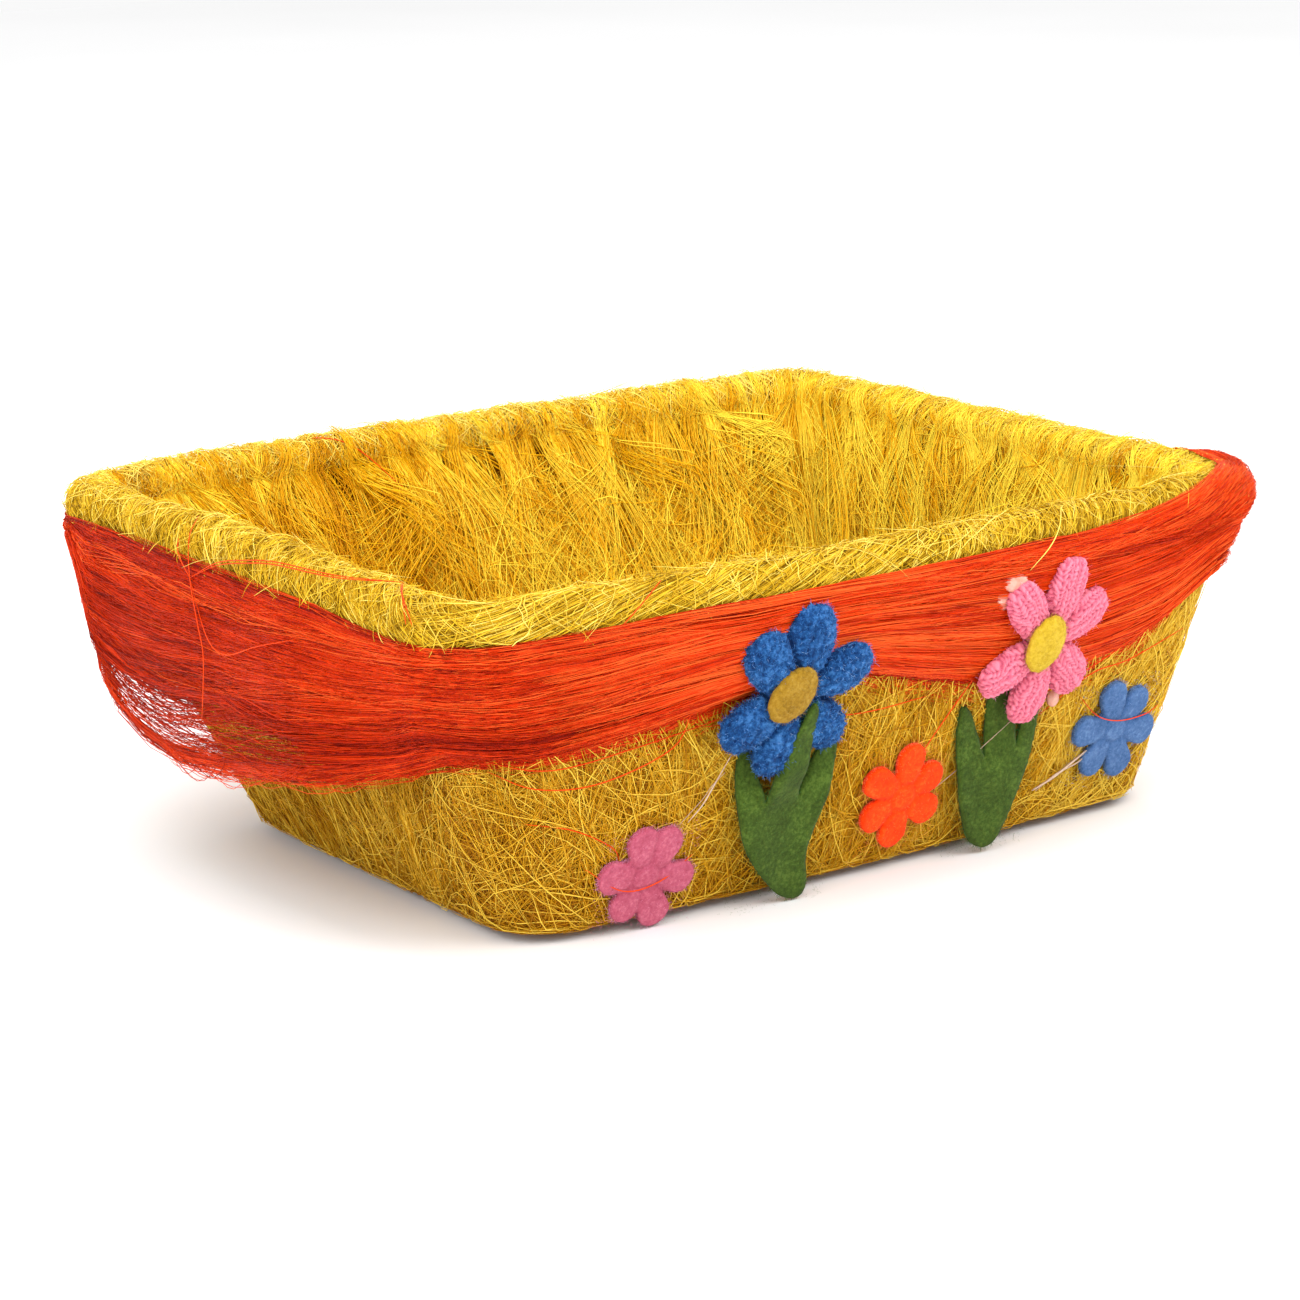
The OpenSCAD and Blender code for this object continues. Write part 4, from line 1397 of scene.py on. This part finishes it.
def felt_sheet_mesh(name, edge, thick, shape, spot, step=1.1):
    """Die-cut sheet of felt. shape(points) gives the height of its back and its dent."""
    low = edge.min(axis=0)
    high = edge.max(axis=0)
    gx, gy = np.meshgrid(np.arange(low[0], high[0], step), np.arange(low[1], high[1], step))
    inner = np.stack([gx.ravel(), gy.ravel()], axis=-1)
    inner = inner[edge_distance(inner, edge) > step * 0.55]
    count = len(edge)
    ring = [(i, (i + 1) % count) for i in range(count)]
    spots = [Vector(p) for p in np.concatenate([edge, inner])]
    cut = geometry.delaunay_2d_cdt(spots, ring, [list(range(count))], 1, 1e-6)
    flat = np.array([tuple(p) for p in cut[0]])
    tris = np.array([list(f) for f in cut[2]])
    area = np.cross(flat[tris[:, 1]] - flat[tris[:, 0]], flat[tris[:, 2]] - flat[tris[:, 0]])
    tris[area < 0] = tris[area < 0][:, ::-1]
    border = 1 - np.clip(edge_distance(flat, edge) / 0.8, 0, 1)
    back, dent = shape(flat)
    n = len(flat)
    grit = rough(np.column_stack([flat * 0.8, np.full(n, 3.1)]), 1.0) * 0.14
    top = np.column_stack([flat, back + thick - dent - 0.45 * border ** 2 + grit])
    under = np.column_stack([flat, back + 0.35 * border ** 2])
    edges = dict.fromkeys(
        (int(tri[i]), int(tri[(i + 1) % 3])) for tri in tris for i in range(3)
    )
    rim = np.array([(a, b) for a, b in edges if (b, a) not in edges])
    walls = np.stack([rim[:, 1], rim[:, 0], rim[:, 0] + n, rim[:, 1] + n], axis=-1)
    points = spot.put(np.concatenate([top, under]))
    me = raw_mesh(name, points, [np.concatenate([tris, tris[:, ::-1] + n]), walls])
    # painted shade: the dents are stored to be painted darker
    add_values(me, "crease", np.concatenate([np.clip(dent, 0, 1), np.zeros(n)]))
    size = abs(float(area.sum()) / 2) * MM * MM
    return me, size, top, rim


def edge_fuzz(rng, spot, top, rim, n, length, radius, middle):
    """Hairs that stand out from the cut edge of a felt sheet."""
    pick = rim[rng.integers(0, len(rim), n)]
    share = rng.uniform(0, 1, (n, 1))
    start, end = top[pick[:, 0]], top[pick[:, 1]]
    base = start * share + end * (1 - share)
    along = end - start
    out = unit(np.column_stack([along[:, 1], -along[:, 0], np.zeros(n)]))
    base[:, 2] -= rng.uniform(0.1, 1.0, n)
    way = out + rng.normal(0, 0.5, (n, 3))
    size = rng.uniform(*length, n)[:, None]
    knee = base + way * size * 0.5
    tip = knee + (way + rng.normal(0, 0.6, (n, 3))) * size * 0.5
    paths = np.stack([base - out * 0.2, knee, tip], axis=1)
    return spot.put(paths), radius, tints(rng, n, middle)


GREEN_NAP = strand_material("green_nap", "0 244E16 0.6 3E702C 1 5E9048", 0.8)
LEAF_UPRIGHT = 4.0


def leaf(name, x, z, w, corners, node, lift, seed):
    """Green felt leaf of three pointed lobes on one blade."""
    spot = Spot(x, z, w, LEAF_UPRIGHT)
    edge = rounded(corners)
    me, size, top, rim = felt_sheet_mesh(name, edge, 1.5, lambda p: (lift(p), 0 * p[:, 0]), spot)
    obj = solid(name, me, GREEN_FELT, [node])
    rng = np.random.default_rng(seed)
    group = edge_fuzz(rng, spot, top, rim, 900, (0.4, 1.1), 0.035, 0.55)
    nap = fuzz(rng, me, 1400, (0.4, 1.0), 0.03, 0.5, 0.25)
    fibres(name + "_nap", [group, nap], GREEN_NAP)


def blue_leaf_lift(p):
    """The blue flower's leaf: its middle lobe comes forward over the petals."""
    near = np.exp(-np.abs((p[:, 0] + 12.6) / 7.0) ** 6)
    up = smooth((p[:, 1] - 30) / 18)
    front = (6.0 + 1.8 * smooth((p[:, 1] - 52) / 12)) * near * up
    return front - 2.6 * (1 - near) * up + 0.5 * np.sin(p[:, 0] * 0.25)


def pink_leaf_lift(p):
    """The pink flower's leaf is a little cupped and its lobes tuck in behind."""
    return 0.5 * np.cos(p[:, 0] * 0.2) - 2.4 * smooth((p[:, 1] - 24) / 18)


PRESS_R = 4.3
HEART_R = 8.8
LOBE_R = 5.0
# Small flowers: name, place, record slot, material, petal directions and lengths, nap
SMALL_FLOWERS = [
    ("small_pink_flower", (-72.2, 17.1), "pink_felt", PINK_FELT,
     [(101, 17), (60, 17), (-9, 17), (-68, 18), (-122, 15), (170, 16)], "0 CC6690 1 F0A8C8"),
    ("small_orange_flower", (16.6, 24.2), "orange_felt", ORANGE_FELT,
     [(89, 18), (30, 15.5), (-31, 16), (-96, 17), (-154, 16), (147, 18)], "0 FF5A18 1 FFA070"),
    ("small_blue_flower", (99.3, 29.7), "blue_felt", BLUE_FELT,
     [(108, 18), (51, 16), (-10, 17.5), (-68, 18.5), (-124, 17), (173, 18)],
     "0 4A78B4 1 8CAEDC"),
]


def small_outline(petals):
    """Closed outline of a small flower: a disc with a round lobe for each petal."""
    angle = np.linspace(0, TAU, 168, endpoint=False)
    reach = np.full(len(angle), HEART_R)
    for direction, length in petals:
        off = (angle - math.radians(direction) + math.pi) % TAU - math.pi
        middle = length - LOBE_R - 0.6
        across = middle * np.sin(off)
        room = np.sqrt(np.maximum(LOBE_R ** 2 * 1.04 - across ** 2, 0))
        ok = (np.abs(across) < LOBE_R) & (np.cos(off) > 0)
        reach = np.where(ok, np.maximum(reach, middle * np.cos(off) + room), reach)
    ring = np.concatenate([reach[-2:], reach, reach[:2]])
    reach = np.convolve(ring, [0.1, 0.2, 0.4, 0.2, 0.1], "valid")
    return np.column_stack([reach * np.cos(angle), reach * np.sin(angle)])


def small_flower(name, at, slot, material, petals, nap, seed):
    """Die-cut felt flower with a pressed ring and creases between its petals."""
    spot = Spot(*at, FELT_W)
    edge = small_outline(petals)
    valleys = between(direction for direction, _ in petals)

    def shape(p):
        r = np.hypot(p[:, 0], p[:, 1])
        turn = np.arctan2(p[:, 1], p[:, 0])
        dent = 0.4 * np.exp(-((r - PRESS_R) / 0.8) ** 2)
        for way in valleys:
            off = (turn - way + math.pi) % TAU - math.pi
            side = np.where(np.cos(off) > 0, np.abs(r * np.sin(off)), 9.0)
            valley = np.exp(-(side / 0.8) ** 2) * smooth((r - 3.6) / 1.2)
            dent = np.maximum(dent, 0.5 * valley)
        return 0.25 * np.sin(p[:, 0] * 0.2 + p[:, 1] * 0.15), dent

    me, size, top, rim = felt_sheet_mesh(name + "_felt", edge, 2.3, shape, spot, 0.6)
    obj = solid(name + "_felt", me, material, [name])
    rng = np.random.default_rng(seed)
    group = edge_fuzz(rng, spot, top, rim, 700, (0.4, 1.0), 0.035, 0.5)
    hair = fuzz(rng, me, 900, (0.4, 0.9), 0.03, 0.5, 0.25)
    fibres(name + "_nap", [group, hair], strand_material(name + "_nap", nap, 0.7))


# ---- Glue and stray threads ------------------------------------------------

def thread(corners, k, radius, tint):
    """One smooth strand through given corners, as a strand_mesh group."""
    pts = np.array(corners, float)
    far = np.concatenate([[2 * pts[0] - pts[1]], pts, [2 * pts[-1] - pts[-2]]])
    t = np.linspace(0, len(pts) - 1 - 1e-6, k)
    i = t.astype(int)
    f = (t - i)[:, None]
    p0, p1, p2, p3 = far[i], far[i + 1], far[i + 2], far[i + 3]
    path = 0.5 * (
        2 * p1 + (p2 - p0) * f + (2 * p0 - 5 * p1 + 4 * p2 - p3) * f ** 2
        + (3 * p1 - p0 - 3 * p2 + p3) * f ** 3
    )
    return path[None], radius, tint


def on_front(corners):
    """Corners given as x, z, w on the front wall, in the basket's frame."""
    return [Spot(*corner).at for corner in corners]


def glue_blob(middle, half, seed):
    """Lumpy drop of glue, as points and faces."""
    around = 18
    rings = 10
    points = []
    for i in range(rings + 1):
        a = math.pi * i / rings
        for j in range(around):
            b = TAU * j / around
            points.append([math.sin(a) * math.cos(b), math.sin(a) * math.sin(b), math.cos(a)])
    points = np.array(points)
    size = 1 + 0.22 * rough(points, 1.4, seed * 3.7)
    return middle + points * half * size[:, None], quads(grid_ids(rings + 1, around))


# Drops of glue: place as x, z, w, and half sizes. Strings: corners and radius
GLUE_DROPS = [
    ((41.0, 87.5, 9.2), (5.0, 1.7, 3.2)),
    ((37.5, 83.5, 8.8), (3.2, 1.2, 4.0)),
    ((70.5, 45.0, 5.6), (2.2, 1.3, 2.6)),
    ((-46, 53, 6.2), (3.0, 1.4, 2.4)),
    ((-32, 62, 6.4), (2.6, 1.6, 2.6)),
]
GLUE_STRINGS = [
    ([(52, 42, 9), (45, 36, 8), (35, 28, 7), (27, 23, 6.2), (20, 21, 6)], 0.16),
    ([(-51, 45, 7), (-54, 41, 6), (-56, 37, 5.4), (-63, 30, 5.4)], 0.14),
    ([(94, 26, 6.2), (86, 22, 6.4), (78, 17.5, 6.2), (70.5, 14.5, 5.8)], 0.5),
    ([(93, 25, 6.4), (87, 21, 6.8), (79, 18.4, 6.2), (72, 14, 5.8)], 0.3),
    ([(-60, 31, 6), (-56, 36, 6.2), (-53, 43, 6.6), (-50, 50, 7)], 0.22),
]


def glue():
    """Drops of hot glue by the big flowers and the strings they pulled."""
    blobs = [
        glue_blob(Spot(*at).at, np.array(half), number)
        for number, (at, half) in enumerate(GLUE_DROPS)
    ]
    solid("glue_drops", raw_mesh("glue_drops", *joined(blobs)), GLUE, ["glue_dots"])
    groups = [thread(on_front(corners), 24, radius, 0.5) for corners, radius in GLUE_STRINGS]
    fibres("glue_strings", groups, GLUE_THREAD)


# Threads on the front wall, each a run of corners x, z, w
FRONT_THREADS = [
    [(-128, 57, 6), (-112, 51, 6.4), (-92, 49, 6), (-70, 55, 5.6), (-66, 66, 7)],
    [(-134, 60, 6.4), (-108, 56, 6.4), (-80, 58, 5.8), (-52, 62, 5.6)],
    [(-60, 60, 5.4), (-30, 57, 5.2), (-4, 54, 5.2), (20, 55, 5.4)],
    [(-112, 40, 5.4), (-98, 36, 5.6), (-84, 28, 5.4), (-80, 22, 5.4)],
    [(-92, 23, 6.0), (-80, 14.5, 8.2), (-68, 15, 8.3), (-57, 21, 7.0)],
    [(82, 43, 6.0), (89, 36, 8.3), (99, 32.5, 8.4), (110, 32.5, 8.3), (117, 34, 7)],
    [(20, 34, 5.8), (28, 46, 5.6), (36, 58, 6.0), (40, 66, 8)],
    [(60, 46, 6), (76, 50, 6), (92, 56, 6.4), (112, 66, 6.4)],
    [(66, 40, 5.6), (84, 50, 6), (100, 52, 6), (122, 58, 5.8)],
]


def on_roll(u, phi, proud=1.2):
    """Place on the winding, some way above its surface."""
    return roll(u, phi, ROLL_R + proud)


def stray_threads():
    """Single orange threads that have come away from the sash."""
    runs = [on_front(corners) for corners in FRONT_THREADS]

    def left(past, phi, proud=1.2):
        """Place on the left winding, measured from the side's end near the front."""
        return on_roll(LEFT_END + past, phi, proud)

    def swag(past, t):
        """Place on the face of the swag."""
        return band(LEFT_END + past, t, 3.8)

    knot = left(-102, -24, 3.4)
    hanging = [(-93, 0.76), (-90, 0.62), (-91, 0.44), (-94, 0.26)]
    runs.append([left(-110, 70), left(-106, 30), knot, *(swag(*at) for at in hanging)])
    runs.append([left(-111, 24), left(-108, 2, 2.2), knot])
    resting = [(-88, 0.7), (-77, 0.64), (-60, 0.73), (-42, 0.82)]
    runs.append([knot, *(swag(*at) for at in resting)])
    for shift in (0, 4):
        lying = [(-88, 4, 1.8), (-72, 22, 2.0), (-57, 34, 2.2), (-31, 48, 2.0)]
        lying = [left(past, phi + shift, proud) for past, phi, proud in lying]
        runs.append([knot, *lying, left(-10, 98 - shift)])
        runs.append([
            left(-10, 98 - shift, 1.0), left(-1, 60, 1.4), left(4 + shift / 3, 14, 1.6)
        ])
    near = [(-96, -24, 1.2), (-88, 20, 1.0), (-80, 60, 0.8)]
    runs.append([on_roll(u_front(x), phi, proud) for x, phi, proud in near])
    back = BACK_END - 60
    runs.append([on_roll(back, 60, 1), on_roll(back - 18, 140, 1), wall(back - 34, 88, -10)])
    fibres("stray_threads", [thread(run, 22, 0.21, 0.66) for run in runs], COMBED)


def yellow_wisps():
    """Long yellow fibres that stand away from the rim."""
    rng = np.random.default_rng(131)
    n = 1000
    u = rng.uniform(0, AROUND, n)[:, None]
    phi = rng.uniform(20, 150, n)[:, None]
    s = np.linspace(0, 1, 8)
    u = u + rng.normal(0, 14, n)[:, None] * s + rng.normal(0, 3, n)[:, None] * np.sin(4 * s)
    phi = phi + rng.normal(0, 70, n)[:, None] * s
    r = ROLL_R - 0.6 + rng.uniform(0.6, 4.2, n)[:, None] * s ** 1.4
    groups = [(roll(u, phi, r), rng.uniform(0.07, 0.13, n), tints(rng, n, 0.7))]
    at = u_front(47)
    corners = [(14, 70, 0), (6, 20, 4), (0, -4, 6), (-4, -40, 5)]
    long = [on_roll(at + past, phi, proud) for past, phi, proud in corners]
    groups.append(thread(long, 20, 0.2, 0.9))
    fibres("rim_wisps", groups, ROVING)


# ---- Assembly --------------------------------------------------------------

# Each side: outer straws, rim strands and their middle shade, the rovings' own tone painted
# lighter at the back and right and darker at the front and left as painted light and shade
COUNTS = {
    "front": (7000, 5000, 0.54),
    "right": (4200, 3800, 0.8),
    "back": (5400, 5000, 0.95),
    "left": (4600, 4600, 0.56),
}


def walls():
    """Outer and inner mats of the four walls with their loose fibres."""
    seed = 10
    for side, (count, _, _) in COUNTS.items():
        wall_mat(
            "outer_batt_" + side, side, 1, FOOT_Z, OUTER_MAT,
            "outer_mat_" + side, seed,
        )
        outer_straws(side, count, seed + 1)
        wall_mat(
            "lining_batt_" + side, side, -1, LINING_FOOT, LINING_MAT,
            "lining_" + side, seed + 2,
        )
        seed += 10
    lining_locks("front", 3000, 15, 0.3, 0, 4)
    # The right and back linings are painted lighter, and the back gets a painted shade that grows
    # darker towards its left end.
    lining_locks("right", 4600, 25, 0.3, 2, 6, (80, 188), 0.26)
    lining_locks("back", 6800, 35, 0.28, -3, 7, (78, 188), 0.06, -0.12)
    lining_locks("left", 3000, 45, 0.3, 0, 4)


def floor_and_base():
    """Mats over and under the wire floor with their fibres."""
    base_sheet(
        "floor_batt", "lining_floor", -MAT_OUT, LINING_MAT, 51, True
    )
    rng = np.random.default_rng(52)
    top = box_mm("lining_floor")[1][2]
    paths = flat_strands(rng, 3200, FLOOR_W, (top - 0.4, top + 3.0), (20, 55), 2.4)
    group = (paths, rng.uniform(0.13, 0.22, len(paths)), tints(rng, len(paths), 0.5))
    fibres("floor_tangle", [group], LOCKS)
    base_sheet(
        "base_batt", "outer_mat_base", BASE_MAT_W, OUTER_MAT, 53, False,
        BASE_BEVEL,
    )
    rng = np.random.default_rng(54)
    foot = box_mm("outer_mat_base")[0][2]
    paths = flat_strands(rng, 3200, UNDER_W, (foot + 0.3, foot + 0.75), (20, 50), 1.2)
    group = (paths, rng.uniform(0.12, 0.2, len(paths)), tints(rng, len(paths), 0.42))
    fibres("base_straws", [group], STRAW)


def rim():
    """Windings of the four sides of the rim."""
    seed = 140
    for side, (_, count, middle) in COUNTS.items():
        rim_core(side, seed)
        rim_strands(side, count, seed + 1, middle)
        seed += 2
    yellow_wisps()


def sash():
    """The orange-red band all round, with its swag and corner turn."""
    sash_front()
    sash_left()
    sash_side("right", 2200, 81)
    sash_side("back", 2600, 85)
    sash_corner()
    stray_threads()


def flowers():
    """Two big flowers with leaves, three small ones, and the glue."""
    blue = blue_flower()
    centre_oval(
        "blue_flower_oval", blue, (-5.0, 3.0), (9.0, 7.0), 54, OCHRE_FELT,
        "blue_flower_centre", "0 886420 1 B49A54", 7,
    )
    pink = pink_flower()
    centre_oval(
        "pink_flower_oval", pink, (-4.6, 2.1), (9.0, 6.8), 78, YELLOW_FELT,
        "pink_flower_centre", "0 B89418 1 D8BE58", 8,
    )
    leaf("blue_leaf_felt", -19.5, 0.5, 11.0, BLUE_LEAF, "blue_flower_leaf", blue_leaf_lift, 121)
    leaf("pink_leaf_felt", 55.5, 0.5, 11.0, PINK_LEAF, "pink_flower_leaf", pink_leaf_lift, 122)
    for seed, flower in enumerate(SMALL_FLOWERS, 123):
        small_flower(*flower, seed)
    glue()


def wires():
    """Better material on the CAD wires, which show through gaps in the sisal."""
    ribs = ["cross_rib_left", "cross_rib_middle", "cross_rib_right", "length_rib"]
    for name in ["rim_wire", "base_wire"] + ribs:
        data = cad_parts[name].data
        data.materials.clear()
        data.materials.append(WIRE)


# ---- Stage, light and camera -----------------------------------------------

STAGE_HALF = 3000
STAGE_POINTS = 13


def stage():
    """Plain pale floor."""
    side = np.linspace(-STAGE_HALF, STAGE_HALF, STAGE_POINTS)
    x, y = np.meshgrid(side, side, indexing="ij")
    points = np.stack([x, y, 0 * x], axis=-1).reshape(-1, 3)
    me = raw_mesh("studio_floor", points, [quads(grid_ids(len(side), len(side), False))])
    m = Nodes("studio_floor")
    tone = m.ramp(m.grain(m.place(), 2), "0.3 F4F4F4 0.7 F8F8F8")
    me.materials.append(m.finish(Base_Color=tone, Roughness=0.9))
    floor = link("studio_floor", me)


def soft_light(name, at, size, watts):
    """Square area light aimed at the basket."""
    data = bpy.data.lights.new(name, "AREA")
    data.size = size
    data.energy = watts
    obj = link(name, data)
    obj.location = at
    obj.rotation_mode = "QUATERNION"
    obj.rotation_quaternion = (Vector((0, 0, 0.05)) - Vector(at)).to_track_quat("-Z", "Y")


def lights():
    """Soft studio light, mostly from the right, the front and above."""
    soft_light("key", (0.5, -1.4, 1.5), 1.2, 22)
    soft_light("fill", (-1.3, -0.7, 1.1), 1.4, 18)
    soft_light("top", (0.0, 0.3, 1.7), 1.6, 18)
    world = bpy.data.worlds.new("studio")
    world.use_nodes = True
    back = world.node_tree.nodes["Background"]
    back.inputs["Color"].default_value = (1, 1, 1, 1)
    back.inputs["Strength"].default_value = 0.95
    bpy.context.scene.world = world
    bpy.context.scene.view_settings.view_transform = "Standard"


CAMERA_AT = (-617.2, -852.6, 325.5)
CAMERA_YAW = 0.6244
CAMERA_PITCH = -0.2555
CAMERA_ROLL = -0.0129
CAMERA_LENS = 99.34


def camera():
    """Camera at the photograph's angle, low at the near left corner."""
    yaw, pitch = CAMERA_YAW, CAMERA_PITCH
    level = Vector((math.cos(yaw), -math.sin(yaw), 0))
    ahead = Vector((
        math.sin(yaw) * math.cos(pitch), math.cos(yaw) * math.cos(pitch), math.sin(pitch)
    ))
    above = level.cross(ahead)
    c, s = math.cos(CAMERA_ROLL), math.sin(CAMERA_ROLL)
    data = bpy.data.cameras.new("camera")
    data.lens = CAMERA_LENS
    data.clip_end = 20
    obj = link("camera", data)
    turn = Matrix((level * c + above * s, above * c - level * s, -ahead)).transposed().to_4x4()
    turn.translation = Vector(CAMERA_AT) * MM
    obj.matrix_world = turn
    bpy.context.scene.camera = obj


wires()
walls()
floor_and_base()
rim()
sash()
flowers()
stage()
lights()
camera()
